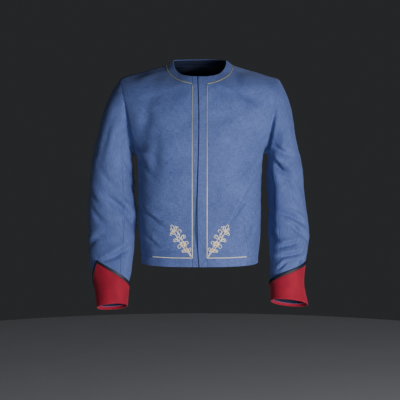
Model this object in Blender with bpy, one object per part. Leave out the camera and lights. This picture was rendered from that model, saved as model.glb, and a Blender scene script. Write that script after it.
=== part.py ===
"""Collarless waist-length costume jacket with red cuffs, hollow as worn.

Metres, +Z up. The origin is where the wearer's shoulders carry the jacket: the middle
of the neck, level with the shoulder seams. The front faces -Y. "Right" and "left" are
the wearer's, so the right half lies at -X.

The cloth is one continuous skin of body and sleeves. It is cut along its seams into the
pieces that a tailor cuts, and each piece is thickened inwards into a wall.
"""

import math
from typing import NamedTuple

import bmesh
import bpy
from mathutils import Vector

CLOTH = 0.0020
SEAM_GAP = 0.0003
LAY_GAP = 0.0004

HEM_Z = -0.531
HEM_BAND_HEIGHT = 0.024
SIDE_SEAM_Y = 0.006
BODY_ROWS = 9
PANEL_COLUMNS = 10
BODY_SQUARENESS = 2.35

FRONT_BAND_X = 0.0195
FRONT_LAP_RISE = 0.0008
UNDERLAP_HALF_WIDTH = 0.0095
UNDERLAP_CLOTH = 0.0014
UNDERLAP_SHORT = 0.008

ARMHOLE_STEPS = 12
BAND_STEPS_ABOVE_ARMPIT = 7
BACK_STEPS_ABOVE_ARMPIT = 8
ARMPIT = (0.1740, SIDE_SEAM_Y, -0.2350)
ARMHOLE_FRONT_DEPTH = 0.060
ARMHOLE_BACK_DEPTH = 0.066
ARMHOLE_MEET_ANGLE = math.radians(60.0)
ARMHOLE_EASE_SHARE = 0.28

NECK_STEPS_ACROSS = 2

SLEEVE_COLUMNS = 24
CAP_ROWS = 7
SLEEVE_ROWS = 15
SLEEVE_END = 7.85
FRONT_SLEEVE_SEAM = 8
BACK_SLEEVE_SEAM = -4
SLEEVE_GIRTH_RADIUS = 0.055
UNDER_LEAD = (0.90, 0.0, -0.44)
CAP_FULLNESS = 1.25

CUFF_GAP = 0.0008
CUFF_CLOTH = 0.0022
CUFF_ROWS = 4
CUFF_END = 8.0
CUFF_BASE = 6.85
CUFF_PEAK = 5.35
CUFF_FRONT_HOLLOW = 1.7
CUFF_BACK_HOLLOW = 1.2
BRAID_WIDTH = 0.0085
BRAID_HEIGHT = 0.0014
BRAID_OVERHANG = 0.0010

CORD_WIDTH = 0.0024
CORD_HEIGHT = 0.0014
HEM_CORD_COLUMNS = 5
CORD_STOP_SHORT = 0.12


class Level(NamedTuple):
    """One level section of the body."""

    z: float
    half_width: float
    front_depth: float
    back_depth: float


BODY_LEVELS = (
    Level(-0.531, 0.1590, 0.112, 0.100),
    Level(-0.500, 0.1610, 0.112, 0.097),
    Level(-0.430, 0.1660, 0.112, 0.093),
    Level(-0.370, 0.1665, 0.113, 0.094),
    Level(-0.310, 0.1670, 0.116, 0.101),
    Level(-0.265, 0.1690, 0.119, 0.107),
    Level(-0.235, 0.1740, 0.121, 0.111),
)


class Spine(NamedTuple):
    """Depth of the body at its middle line, above the armpits."""

    z: float
    depth: float


CHEST_LINE = (
    Spine(-0.235, 0.1210),
    Spine(-0.195, 0.1225),
    Spine(-0.155, 0.1215),
    Spine(-0.115, 0.1165),
    Spine(-0.080, 0.1055),
    Spine(-0.0507, 0.0902),
)
SPINE_LINE = (
    Spine(-0.235, 0.1110),
    Spine(-0.180, 0.1175),
    Spine(-0.120, 0.1165),
    Spine(-0.070, 0.1070),
    Spine(-0.030, 0.0900),
    Spine(0.004, 0.0710),
)


class Opening(NamedTuple):
    """Middle and half width of the opening between the two fronts at a height."""

    z: float
    middle: float
    half_gap: float


OPENING_LINE = (
    Opening(-0.531, -0.0020, 0.0015),
    Opening(-0.507, -0.0042, 0.0016),
    Opening(-0.475, -0.0068, 0.0022),
    Opening(-0.440, -0.0096, 0.0044),
    Opening(-0.405, -0.0094, 0.0038),
    Opening(-0.370, -0.0085, 0.0027),
    Opening(-0.323, -0.0064, 0.0018),
    Opening(-0.229, -0.0038, 0.0015),
    Opening(-0.134, -0.0025, 0.0015),
    Opening(-0.040, -0.0051, 0.0015),
)


class NeckLine(NamedTuple):
    """A ring round the neck, given at the shoulder seam, the front and the back."""

    half_width: float
    shoulder_y: float
    shoulder_z: float
    front_depth: float
    back_depth: float
    front_fall: float
    back_rise: float
    roundness: float


NECK_SEAM = NeckLine(0.0895, 0.005, 0.0020, 0.0975, 0.066, 0.0540, 0.002, 1.0)
NECK_EDGE = NeckLine(0.0715, 0.005, 0.0147, 0.0810, 0.052, 0.0457, 0.006, 1.4)


class Ring(NamedTuple):
    """One section of a sleeve, seen from the shoulder down to the wrist."""

    x: float
    y: float
    z: float
    half_width: float
    half_depth: float
    roll: float
    pitch: float
    squareness: float


RIGHT_RINGS = (
    Ring(0.2320, 0.010, -0.2335, 0.0567, 0.070, 30.0, 0.0, 2.1),
    Ring(0.2369, 0.014, -0.2810, 0.0586, 0.069, 14.0, 0.0, 2.2),
    Ring(0.2384, 0.016, -0.3320, 0.0615, 0.066, 4.0, 3.0, 2.3),
    Ring(0.2379, 0.009, -0.3950, 0.0655, 0.062, 0.0, 8.0, 2.4),
    Ring(0.2383, -0.009, -0.4600, 0.0632, 0.058, 0.0, 14.0, 2.3),
    Ring(0.2398, -0.028, -0.5170, 0.0585, 0.053, 0.0, 18.0, 2.2),
    Ring(0.2373, -0.043, -0.5550, 0.0520, 0.048, 0.0, 19.0, 2.1),
    Ring(0.2350, -0.056, -0.5910, 0.0440, 0.043, -2.0, 20.0, 2.1),
    Ring(0.2331, -0.074, -0.6420, 0.0388, 0.039, -5.0, 20.0, 2.1),
)
LEFT_RINGS = (
    Ring(0.2243, 0.010, -0.2405, 0.0476, 0.070, 27.0, 0.0, 2.1),
    Ring(0.2282, 0.014, -0.2810, 0.0505, 0.068, 10.0, 0.0, 2.3),
    Ring(0.2326, 0.016, -0.3290, 0.0510, 0.066, 3.0, 3.0, 2.4),
    Ring(0.2373, 0.009, -0.3920, 0.0529, 0.062, 0.0, 8.0, 2.5),
    Ring(0.2413, -0.009, -0.4560, 0.0550, 0.058, 0.0, 14.0, 2.3),
    Ring(0.2390, -0.028, -0.5140, 0.0494, 0.053, 0.0, 18.0, 2.2),
    Ring(0.2345, -0.043, -0.5480, 0.0452, 0.048, 0.0, 19.0, 2.1),
    Ring(0.2335, -0.056, -0.5850, 0.0432, 0.045, -3.0, 20.0, 2.1),
    Ring(0.2392, -0.074, -0.6320, 0.0475, 0.044, -7.0, 20.0, 2.1),
)


class Fold(NamedTuple):
    """A soft trough (or, with a negative depth, a ridge) across a sleeve."""

    angle: float
    z: float
    slant: float
    half_length: float
    half_width: float
    depth: float


RIGHT_FOLDS = (
    Fold(75.0, -0.375, -42.0, 0.050, 0.014, 0.0040),
    Fold(40.0, -0.405, -40.0, 0.045, 0.013, 0.0035),
    Fold(95.0, -0.500, 25.0, 0.040, 0.013, 0.0030),
    Fold(255.0, -0.395, 15.0, 0.050, 0.016, 0.0035),
    Fold(280.0, -0.455, -20.0, 0.045, 0.014, 0.0030),
)
LEFT_FOLDS = (
    Fold(110.0, -0.262, 42.0, 0.045, 0.013, 0.0060),
    Fold(65.0, -0.405, 30.0, 0.045, 0.013, 0.0035),
    Fold(50.0, -0.450, 24.0, 0.040, 0.012, 0.0035),
    Fold(60.0, -0.525, -22.0, 0.036, 0.011, 0.0030),
    Fold(260.0, -0.400, -16.0, 0.050, 0.016, 0.0035),
    Fold(275.0, -0.465, 20.0, 0.045, 0.014, 0.0030),
)


class Side(NamedTuple):
    """What one half of the jacket has of its own."""

    name: str
    sign: float
    shoulder_tip: tuple
    cap_lead: tuple
    rings: tuple
    folds: tuple
    cuff_peak_step: int
    cuff_front_spread: float
    cuff_back_spread: float


SIDES = (
    Side(
        name="right",
        sign=-1.0,
        shoulder_tip=(0.2130, 0.008, -0.0320),
        cap_lead=(0.56, 0.0, -0.83),
        rings=RIGHT_RINGS,
        folds=RIGHT_FOLDS,
        cuff_peak_step=4,
        cuff_front_spread=125.0,
        cuff_back_spread=62.0,
    ),
    Side(
        name="left",
        sign=1.0,
        shoulder_tip=(0.2130, 0.008, -0.0355),
        cap_lead=(0.54, 0.0, -0.84),
        rings=LEFT_RINGS,
        folds=LEFT_FOLDS,
        cuff_peak_step=1,
        cuff_front_spread=165.0,
        cuff_back_spread=75.0,
    ),
)


class Finish(NamedTuple):
    """Colour (linear RGB) and roughness of one material."""

    colour: tuple
    roughness: float


BLUE_WOOL = Finish((0.105, 0.165, 0.330), 0.80)
NAVY_WOOL = Finish((0.012, 0.022, 0.055), 0.85)
RED_WOOL = Finish((0.330, 0.020, 0.036), 0.85)
BLACK_BRAID = Finish((0.012, 0.013, 0.017), 0.70)
GOLD_CORD = Finish((0.560, 0.450, 0.230), 0.45)


def spline(values, position):
    """Smooth (Catmull-Rom) value between equally spaced values."""
    last = len(values) - 1
    position = min(max(position, 0.0), float(last))
    index = min(int(position), last - 1)
    t = position - index
    p1 = values[index]
    p2 = values[index + 1]
    p0 = values[index - 1] if index > 0 else 2 * p1 - p2
    p3 = values[index + 2] if index + 2 <= last else 2 * p2 - p1
    bend = 2 * p0 - 5 * p1 + 4 * p2 - p3
    twist = 3 * p1 - p0 - 3 * p2 + p3
    return 0.5 * (2 * p1 + (p2 - p0) * t + bend * t**2 + twist * t**3)


def place_in(heights, z):
    """Position of z in a rising list of heights, as a float index."""
    for index in range(len(heights) - 1):
        if z <= heights[index + 1]:
            step = heights[index + 1] - heights[index]
            return index + (z - heights[index]) / step
    return len(heights) - 1.0


def level_value(table, column, z):
    """A column of a level table, read smoothly at height z."""
    place = place_in([row.z for row in table], z)
    return spline([getattr(row, column) for row in table], place)


def arc(step, sweep, squareness):
    """Part of a squared quarter circle: (run, rise), from (0, 1) to (1, 0)."""
    power = 2.0 / squareness
    angle = sweep * step
    end_run = math.sin(sweep) ** power
    end_rise = max(math.cos(sweep), 0.0) ** power
    run = math.sin(angle) ** power / end_run
    rise = (max(math.cos(angle), 0.0) ** power - end_rise) / (1.0 - end_rise)
    return run, rise


def row_between(inner, outer, sweep, columns):
    """Points of one row of a body panel, from the middle edge to the side edge."""
    row = []
    for column in range(columns + 1):
        run, rise = arc(column / columns, sweep, BODY_SQUARENESS)
        x = inner.x + (outer.x - inner.x) * run
        y = outer.y + (inner.y - outer.y) * rise
        z = inner.z + (outer.z - inner.z) * run
        row.append(Vector((x, y, z)))
    return row


def neck_point(line, turn):
    """Point of a neck ring: turn 0 is the middle front, 90 the shoulder, 180 the back."""
    c = math.cos(math.radians(turn))
    x = line.half_width * math.sin(math.radians(turn))
    if c > 0:
        y = line.shoulder_y - line.front_depth * c
        z = line.shoulder_z - line.front_fall * (1 - (1 - c) ** line.roundness)
    else:
        y = line.shoulder_y - line.back_depth * c
        z = line.shoulder_z - line.back_rise * c
    return Vector((x, y, z))


def turn_at(line, x):
    """Turn in degrees at which a neck line starts beside the front band."""
    return math.degrees(math.asin(x / line.half_width))


def mirrored(point, sign):
    """The point, on the side that sign gives."""
    return Vector((point.x * sign, point.y, point.z))


def armhole(side, turn):
    """Armhole seam for sign +1: 0 shoulder tip, 90 front, 180 armpit, 270 back."""
    tip = Vector(side.shoulder_tip)
    pit = Vector(ARMPIT)
    across = math.sin(math.radians(turn))
    depth = ARMHOLE_FRONT_DEPTH if across > 0 else ARMHOLE_BACK_DEPTH
    along = math.cos(math.radians(turn))
    point = (tip + pit) / 2 + (tip - pit) / 2 * along
    point.y -= depth * across
    return point


def side_edges(side, facing):
    """Outer edge points of a body panel, hem to shoulder, and each row's sweep angle."""
    edge = []
    sweeps = []
    hem_top = HEM_Z + HEM_BAND_HEIGHT
    heights = [HEM_Z] + [
        hem_top + (ARMPIT[2] - hem_top) * row / BODY_ROWS for row in range(BODY_ROWS)
    ]
    for z in heights:
        edge.append(Vector((level_value(BODY_LEVELS, "half_width", z), SIDE_SEAM_Y, z)))
        sweeps.append(math.pi / 2)
    for step in range(ARMHOLE_STEPS + 1):
        share = step / ARMHOLE_STEPS
        edge.append(armhole(side, 180.0 - facing * 180.0 * share))
        ease = min(share / ARMHOLE_EASE_SHARE, 1.0)
        ease = ease * ease * (3 - 2 * ease)
        sweeps.append(math.pi / 2 + (ARMHOLE_MEET_ANGLE - math.pi / 2) * ease)
    return edge, sweeps


def middle_edge(edge, facing):
    """Inner edge points of a body panel: up the middle, then round the neckline."""
    front = facing > 0
    x = FRONT_BAND_X if front else 0.0
    column = "front_depth" if front else "back_depth"
    points = []
    for outer in edge[: BODY_ROWS + 1]:
        depth = level_value(BODY_LEVELS, column, outer.z)
        points.append(Vector((x, -facing * depth, outer.z)))
    line = CHEST_LINE if front else SPINE_LINE
    steps = BAND_STEPS_ABOVE_ARMPIT if front else BACK_STEPS_ABOVE_ARMPIT
    start = turn_at(NECK_SEAM, x) if front else 180.0
    top = neck_point(NECK_SEAM, start).z
    for step in range(steps):
        z = line[0].z + (top - line[0].z) * step / steps
        points.append(Vector((x, -facing * level_value(line, "depth", z), z)))
    rest = ARMHOLE_STEPS - steps
    for step in range(rest + 1):
        points.append(neck_point(NECK_SEAM, start + (90.0 - start) * step / rest))
    return points


def body_rows(side, facing):
    """Rows of points of a front (facing 1) or half back (facing -1), mirrored in place."""
    edge, sweeps = side_edges(side, facing)
    middle = middle_edge(edge, facing)
    rows = []
    for inner, outer, sweep in zip(middle, edge, sweeps):
        row = row_between(inner, outer, sweep, PANEL_COLUMNS)
        rows.append([mirrored(point, side.sign) for point in row])
    return rows


def cap_tangent(side, turn):
    """Direction in which the sleeve leaves the armhole, for sign +1."""
    lead = Vector(side.cap_lead)
    under = Vector(UNDER_LEAD)
    share = 0.5 - 0.5 * math.cos(math.radians(turn))
    return (lead.lerp(under, share)).normalized()


def ring_point(side, turn, place):
    """Point of a sleeve ring for sign +1: place 0 is the upper arm, 8 the wrist."""
    value = Ring(*(spline([r[i] for r in side.rings], place) for i in range(len(Ring._fields))))
    power = 2.0 / value.squareness
    c = math.cos(math.radians(turn))
    s = math.sin(math.radians(turn))
    out = math.copysign(abs(c) ** power, c) * value.half_width
    fore = math.copysign(abs(s) ** power, s) * value.half_depth
    roll = math.radians(value.roll)
    pitch = math.radians(value.pitch)
    return Vector(
        (
            value.x + out * math.cos(roll),
            value.y - fore * math.cos(pitch),
            value.z + out * math.sin(roll) + fore * math.sin(pitch),
        )
    )


def fold_depth(side, turn, z):
    """How far the folds of a sleeve press its surface in."""
    total = 0.0
    for fold in side.folds:
        swing = (turn - fold.angle + 180.0) % 360.0 - 180.0
        p = math.radians(swing) * SLEEVE_GIRTH_RADIUS
        q = z - fold.z
        slant = math.radians(fold.slant)
        along = p * math.cos(slant) + q * math.sin(slant)
        across = q * math.cos(slant) - p * math.sin(slant)
        fade = math.exp(-((along / fold.half_length) ** 2) - (across / fold.half_width) ** 2)
        total += fold.depth * fade
    return total


def sleeve_point(side, turn, place):
    """Outer surface of a sleeve: place -1 is the armhole, 0 to 8 run down the arm."""
    if place < 0:
        start = armhole(side, turn)
        end = ring_point(side, turn, 0.0)
        reach = CAP_FULLNESS * (end - start).length
        leave = cap_tangent(side, turn) * reach
        arrive = (ring_point(side, turn, 0.1) - end).normalized() * reach
        t = place + 1.0
        point = start * (2 * t**3 - 3 * t**2 + 1)
        point += leave * (t**3 - 2 * t**2 + t)
        point += end * (3 * t**2 - 2 * t**3)
        point += arrive * (t**3 - t**2)
        press = t * t * (3 - 2 * t)
    else:
        point = ring_point(side, turn, place)
        press = 1.0
    near = max(place, 0.0)
    centre = (ring_point(side, 0.0, near) + ring_point(side, 180.0, near)) / 2
    centre.z = max(centre.z, point.z)
    inward = (centre - point).normalized()
    point += inward * fold_depth(side, turn, point.z) * press
    return mirrored(point, side.sign)


def sleeve_normal(side, turn, place):
    """Outward normal of the sleeve surface."""
    around = sleeve_point(side, turn + 2.0, place) - sleeve_point(side, turn - 2.0, place)
    down = sleeve_point(side, turn, place + 0.04) - sleeve_point(side, turn, place - 0.04)
    return (around.cross(down) * side.sign).normalized()


def sleeve_places():
    """Places of the sleeve's rows, armhole to end."""
    cap = [row / CAP_ROWS - 1.0 for row in range(CAP_ROWS)]
    return cap + [SLEEVE_END * row / SLEEVE_ROWS for row in range(SLEEVE_ROWS + 1)]


def front_band_rows(side, panel_rows):
    """Rows of a front band, from the opening to the panel, hem to neck edge."""
    seam = [row[0] for row in panel_rows[: 1 + BODY_ROWS + BAND_STEPS_ABOVE_ARMPIT + 1]]
    top = mirrored(neck_point(NECK_EDGE, turn_at(NECK_EDGE, FRONT_BAND_X)), side.sign)
    for step in range(1, NECK_STEPS_ACROSS + 1):
        seam.append(panel_corner(panel_rows).lerp(top, step / NECK_STEPS_ACROSS))
    rise = FRONT_LAP_RISE if side.sign > 0 else 0.0
    rows = []
    for point in seam:
        middle = level_value(OPENING_LINE, "middle", point.z)
        half_gap = level_value(OPENING_LINE, "half_gap", point.z)
        edge = Vector((middle + side.sign * half_gap, point.y - rise, point.z))
        rows.append([edge, point])
    return rows


def panel_corner(panel_rows):
    """Point where the front band, the front panel and the neckband meet."""
    return panel_rows[1 + BODY_ROWS + BAND_STEPS_ABOVE_ARMPIT][0]


def neckband_rows():
    """Rows of the neckband from its seam to its upper edge, right front to left front."""
    front_steps = ARMHOLE_STEPS - BAND_STEPS_ABOVE_ARMPIT
    back_steps = ARMHOLE_STEPS - BACK_STEPS_ABOVE_ARMPIT
    rows = []
    seam_start = turn_at(NECK_SEAM, FRONT_BAND_X)
    edge_start = turn_at(NECK_EDGE, FRONT_BAND_X)
    for row in range(NECK_STEPS_ACROSS + 1):
        half = []
        for step in range(front_steps + back_steps + 1):
            t = min(step / front_steps, 1.0)
            behind = max(step - front_steps, 0) * 90.0 / back_steps
            seam = neck_point(NECK_SEAM, seam_start + (90.0 - seam_start) * t + behind)
            edge = neck_point(NECK_EDGE, edge_start + (90.0 - edge_start) * t + behind)
            half.append(seam.lerp(edge, row / NECK_STEPS_ACROSS))
        rows.append([mirrored(point, -1.0) for point in half] + half[-2::-1])
    return rows


class Skin:
    """Outer face of the cloth: grids whose shared edges are welded, cut into pieces."""

    WELD = 0.00003

    def __init__(self):
        self.mesh = bmesh.new()
        self.layer = self.mesh.faces.layers.int.new("piece")
        self.names = []

    def add(self, name, rows):
        """Add a grid of points to a piece."""
        if name not in self.names:
            self.names.append(name)
        grid = [[self.mesh.verts.new(point) for point in row] for row in rows]
        for lower, upper in zip(grid, grid[1:]):
            for i in range(len(lower) - 1):
                face = self.mesh.faces.new((lower[i], lower[i + 1], upper[i + 1], upper[i]))
                face[self.layer] = self.names.index(name)

    def close(self):
        """Weld the seams, turn the faces outwards and split them into triangles."""
        bmesh.ops.remove_doubles(self.mesh, verts=self.mesh.verts, dist=self.WELD)
        bmesh.ops.recalc_face_normals(self.mesh, faces=self.mesh.faces)
        bmesh.ops.triangulate(self.mesh, faces=self.mesh.faces, quad_method="SHORT_EDGE")
        self.mesh.normal_update()

    def wall(self, name, thickness):
        """Mesh of one piece: its outer faces, an inner copy and the cut edges."""
        index = self.names.index(name)
        faces = [face for face in self.mesh.faces if face[self.layer] == index]
        shifts = self.edge_shifts(faces)
        wall = bmesh.new()
        outer = {}
        inner = {}
        for vert in {v for face in faces for v in face.verts}:
            flat = [f.normal.dot(vert.normal) for f in vert.link_faces]
            depth = thickness / max(sum(flat) / len(flat), 0.6)
            point = vert.co + shifts.get(vert, Vector())
            outer[vert] = wall.verts.new(point)
            inner[vert] = wall.verts.new(point - vert.normal * depth)
        for face in faces:
            wall.faces.new([outer[v] for v in face.verts])
            wall.faces.new([inner[v] for v in reversed(face.verts)])
            for loop in face.loops:
                if self.is_cut(loop.edge, index):
                    a = loop.vert
                    b = loop.link_loop_next.vert
                    wall.faces.new((outer[b], outer[a], inner[a], inner[b]))
        mesh = bpy.data.meshes.new(name)
        wall.to_mesh(mesh)
        wall.free()
        return mesh

    def is_cut(self, edge, index):
        """Whether an edge is the outline of the piece with this index."""
        return sum(face[self.layer] == index for face in edge.link_faces) == 1

    def edge_shifts(self, faces):
        """Small moves that draw the outline of a piece back from its seams."""
        index = faces[0][self.layer]
        ways = {}
        for face in faces:
            for edge in face.edges:
                if not self.is_cut(edge, index):
                    continue
                run = (edge.verts[1].co - edge.verts[0].co).normalized()
                way = face.calc_center_median() - edge.verts[0].co
                way = (way - run * way.dot(run)).normalized()
                for vert in edge.verts:
                    ways.setdefault(vert, []).append(way)
        shifts = {}
        for vert, found in ways.items():
            lean = max(abs(way.dot(vert.normal)) for way in found)
            draw = SEAM_GAP / 2 / max(math.sqrt(1.0 - lean * lean), 0.3)
            spread = found[0].dot(found[-1]) if len(found) > 1 else 0.0
            shifts[vert] = sum(found, Vector()) * draw / max(1.0 + spread, 0.6)
        return shifts


def add_object(name, mesh, material):
    """Put a mesh into the scene as a named, smoothly shaded object."""
    mesh.name = name
    mesh.materials.append(material)
    mesh.shade_smooth()
    mesh.set_sharp_from_angle(angle=math.radians(40.0))
    obj = bpy.data.objects.new(name, mesh)
    bpy.context.scene.collection.objects.link(obj)
    return obj


def make_material(name, finish):
    """A Principled material of one colour."""
    material = bpy.data.materials.new(name)
    material.use_nodes = True
    shader = material.node_tree.nodes["Principled BSDF"]
    shader.inputs["Base Color"].default_value = (*finish.colour, 1.0)
    shader.inputs["Roughness"].default_value = finish.roughness
    shader.inputs["Metallic"].default_value = 0.0
    return material


def body_skin():
    """Skin of the body, its bands, the neckband and both sleeves."""
    skin = Skin()
    places = sleeve_places()
    for side in SIDES:
        front = body_rows(side, 1.0)
        skin.add(f"hem_band_{side.name}", front[:2])
        skin.add(f"front_panel_{side.name}", front[1:])
        skin.add(f"front_band_{side.name}", front_band_rows(side, front))
        back = body_rows(side, -1.0)
        skin.add("hem_band_back", back[:2])
        skin.add("back_panel", back[1:])
        for piece, first, last in (
            ("top_sleeve", BACK_SLEEVE_SEAM, FRONT_SLEEVE_SEAM),
            ("under_sleeve", FRONT_SLEEVE_SEAM, BACK_SLEEVE_SEAM + SLEEVE_COLUMNS),
        ):
            turns = [column * 360.0 / SLEEVE_COLUMNS for column in range(first, last + 1)]
            rows = [[sleeve_point(side, turn, place) for turn in turns] for place in places]
            skin.add(f"{piece}_{side.name}", rows)
    skin.add("neckband", neckband_rows())
    skin.close()
    return skin


def cuff_top(side, turn):
    """Place on the sleeve of the cuff's peaked upper edge."""
    peak = side.cuff_peak_step * 360.0 / SLEEVE_COLUMNS
    swing = (turn - peak + 180.0) % 360.0 - 180.0
    if swing >= 0:
        share = max(1 - swing / side.cuff_front_spread, 0.0)
        power = CUFF_FRONT_HOLLOW
    else:
        share = max(1 + swing / side.cuff_back_spread, 0.0)
        power = CUFF_BACK_HOLLOW
    return CUFF_BASE - (CUFF_BASE - CUFF_PEAK) * share**power


def raised_ring(side, height, place_at):
    """Closed ring of points above the sleeve, at each turn's own place."""
    ring = []
    for column in range(SLEEVE_COLUMNS + 1):
        turn = (column % SLEEVE_COLUMNS) * 360.0 / SLEEVE_COLUMNS
        place = place_at(turn)
        point = sleeve_point(side, turn, place)
        ring.append(point + sleeve_normal(side, turn, place) * height)
    return ring


def place_below(side, turn, place, distance):
    """Place that lies a distance further down the sleeve."""
    step = 0.05
    length = (sleeve_point(side, turn, place + step) - sleeve_point(side, turn, place)).length
    return place + step * distance / length


def cuff_mesh(side):
    """Cuff over the sleeve end, with its peaked upper edge."""
    height = CUFF_GAP + CUFF_CLOTH
    rows = []
    for row in range(CUFF_ROWS + 1):
        share = row / CUFF_ROWS
        rows.append(
            raised_ring(
                side,
                height,
                lambda turn, share=share: cuff_top(side, turn) * (1 - share) + CUFF_END * share,
            )
        )
    skin = Skin()
    skin.add("cuff", rows)
    skin.close()
    return skin.wall("cuff", CUFF_CLOTH)


def braid_mesh(side):
    """Flat braid that covers the cuff's upper edge."""
    height = CUFF_GAP + CUFF_CLOTH + LAY_GAP + BRAID_HEIGHT
    rows = []
    for distance in (-BRAID_OVERHANG, BRAID_WIDTH - BRAID_OVERHANG):
        rows.append(
            raised_ring(
                side,
                height,
                lambda turn, d=distance: place_below(side, turn, cuff_top(side, turn), d),
            )
        )
    skin = Skin()
    skin.add("braid", rows)
    skin.close()
    return skin.wall("braid", BRAID_HEIGHT)


def cord_mesh(points, normals):
    """Flattened cord of four sides along a line of points on the cloth."""
    cord = bmesh.new()
    rings = []
    for i, (point, normal) in enumerate(zip(points, normals)):
        before = points[max(i - 1, 0)]
        after = points[min(i + 1, len(points) - 1)]
        across = normal.cross((after - before).normalized()).normalized() * (CORD_WIDTH / 2)
        low = point + normal * LAY_GAP
        high = point + normal * (LAY_GAP + CORD_HEIGHT)
        corners = (low - across, low + across, high + across * 0.7, high - across * 0.7)
        rings.append([cord.verts.new(corner) for corner in corners])
    for first, second in zip(rings, rings[1:]):
        for i in range(4):
            j = (i + 1) % 4
            cord.faces.new((first[i], first[j], second[j], second[i]))
    cord.faces.new(rings[0])
    cord.faces.new(reversed(rings[-1]))
    bmesh.ops.recalc_face_normals(cord, faces=cord.faces)
    bmesh.ops.triangulate(cord, faces=cord.faces)
    mesh = bpy.data.meshes.new("cord")
    cord.to_mesh(mesh)
    cord.free()
    return mesh


def surface_normal(skin, point):
    """Normal of the skin at one of its own points."""
    nearest = min(skin.mesh.verts, key=lambda vert: (vert.co - point).length_squared)
    return nearest.normal.copy()


def front_cord_points(side):
    """Cord line: along the hem band seam to the corner, then up the front band seam."""
    rows = body_rows(side, 1.0)
    hem = rows[1][HEM_CORD_COLUMNS:0:-1]
    rise = [row[0] for row in rows[1 : 1 + BODY_ROWS + BAND_STEPS_ABOVE_ARMPIT + 1]]
    rise[-1] = rise[-1].lerp(rise[-2], CORD_STOP_SHORT)
    return hem + rise


def underlap_mesh(skin):
    """Navy strip behind the opening, sewn inside the right front's edge."""
    right, left = (front_band_rows(side, body_rows(side, 1.0)) for side in SIDES)
    strip = Skin()
    rows = []
    for right_row, left_row in zip(right, left):
        middle = (right_row[0] + left_row[0]) / 2
        behind = surface_normal(skin, right_row[1]) * (CLOTH + LAY_GAP)
        ends = (middle.x - UNDERLAP_HALF_WIDTH, middle.x + UNDERLAP_HALF_WIDTH)
        rows.append([Vector((x, right_row[1].y, middle.z)) - behind for x in ends])
    shorter(rows, UNDERLAP_SHORT)
    strip.add("underlap", rows)
    strip.close()
    return strip.wall("underlap", UNDERLAP_CLOTH)


def shorter(rows, cut):
    """Shorten a strip of rows by the same length at both ends."""
    for end, beside in ((0, 1), (-1, -2)):
        for i, point in enumerate(rows[end]):
            way = rows[beside][i] - point
            rows[end][i] = point + way * min(cut / way.length, 0.8)


def main():
    """Build the whole jacket."""
    for obj in list(bpy.data.objects):
        bpy.data.objects.remove(obj, do_unlink=True)
    blue = make_material("blue_wool", BLUE_WOOL)
    navy = make_material("navy_wool", NAVY_WOOL)
    red = make_material("red_wool", RED_WOOL)
    black = make_material("black_braid", BLACK_BRAID)
    gold = make_material("gold_cord", GOLD_CORD)
    skin = body_skin()
    for name in skin.names:
        add_object(name, skin.wall(name, CLOTH), blue)
    add_object("front_underlap", underlap_mesh(skin), navy)
    for side in SIDES:
        add_object(f"cuff_{side.name}", cuff_mesh(side), red)
        add_object(f"cuff_braid_{side.name}", braid_mesh(side), black)
        line = front_cord_points(side)
        normals = [surface_normal(skin, point) for point in line]
        add_object(f"front_cord_{side.name}", cord_mesh(line, normals), gold)
    line = neckband_rows()[0]
    normals = [surface_normal(skin, point) for point in line]
    add_object("neck_cord", cord_mesh(line, normals), gold)


main()
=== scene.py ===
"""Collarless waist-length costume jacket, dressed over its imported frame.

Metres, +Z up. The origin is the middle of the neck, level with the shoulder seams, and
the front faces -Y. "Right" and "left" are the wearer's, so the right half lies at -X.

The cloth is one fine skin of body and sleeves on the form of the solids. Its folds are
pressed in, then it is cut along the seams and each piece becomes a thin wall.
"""

import logging
import math
from collections.abc import Callable
from dataclasses import astuple, dataclass, field
from enum import Enum

import bpy
import numpy as np
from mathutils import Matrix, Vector
from mathutils.bvhtree import BVHTree
from mathutils.kdtree import KDTree


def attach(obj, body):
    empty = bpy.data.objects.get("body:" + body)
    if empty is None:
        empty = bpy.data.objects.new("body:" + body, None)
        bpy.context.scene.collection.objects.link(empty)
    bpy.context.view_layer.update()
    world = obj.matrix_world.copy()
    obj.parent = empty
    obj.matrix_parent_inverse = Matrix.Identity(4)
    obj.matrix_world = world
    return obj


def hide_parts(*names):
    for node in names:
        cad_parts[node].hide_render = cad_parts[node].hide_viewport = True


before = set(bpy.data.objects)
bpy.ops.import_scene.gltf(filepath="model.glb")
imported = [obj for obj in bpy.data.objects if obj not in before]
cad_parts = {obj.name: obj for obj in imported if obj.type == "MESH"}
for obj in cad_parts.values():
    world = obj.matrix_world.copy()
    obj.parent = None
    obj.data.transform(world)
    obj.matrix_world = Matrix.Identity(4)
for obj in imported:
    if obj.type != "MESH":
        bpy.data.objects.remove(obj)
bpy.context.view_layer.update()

LOG = logging.getLogger("jacket")
ROOT = "root"
MM = 0.001

Array = np.ndarray


class Half(Enum):
    """The wearer's right or left half; the value is the sign of X there."""

    RIGHT = -1.0
    LEFT = 1.0


class Facing(Enum):
    """Front or back of the body; the value is the sign of -Y there."""

    FRONT = 1.0
    BACK = -1.0


class Slot(Enum):
    """Material slots of the record."""

    BLUE_WOOL = "blue_wool"
    NAVY_WOOL = "navy_wool"
    RED_WOOL = "red_wool"
    BLACK_BRAID = "black_braid"
    GOLD_CORD = "gold_cord"


# Form of the jacket


@dataclass(frozen=True)
class Level:
    """One level section of the body."""

    z: float
    half_width: float
    front_depth: float
    back_depth: float


@dataclass(frozen=True)
class Spine:
    """Depth of the body at its middle line, above the armpits."""

    z: float
    depth: float


@dataclass(frozen=True)
class Opening:
    """Middle and half width of the opening between the two fronts at a height."""

    z: float
    middle: float
    half_gap: float


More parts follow.
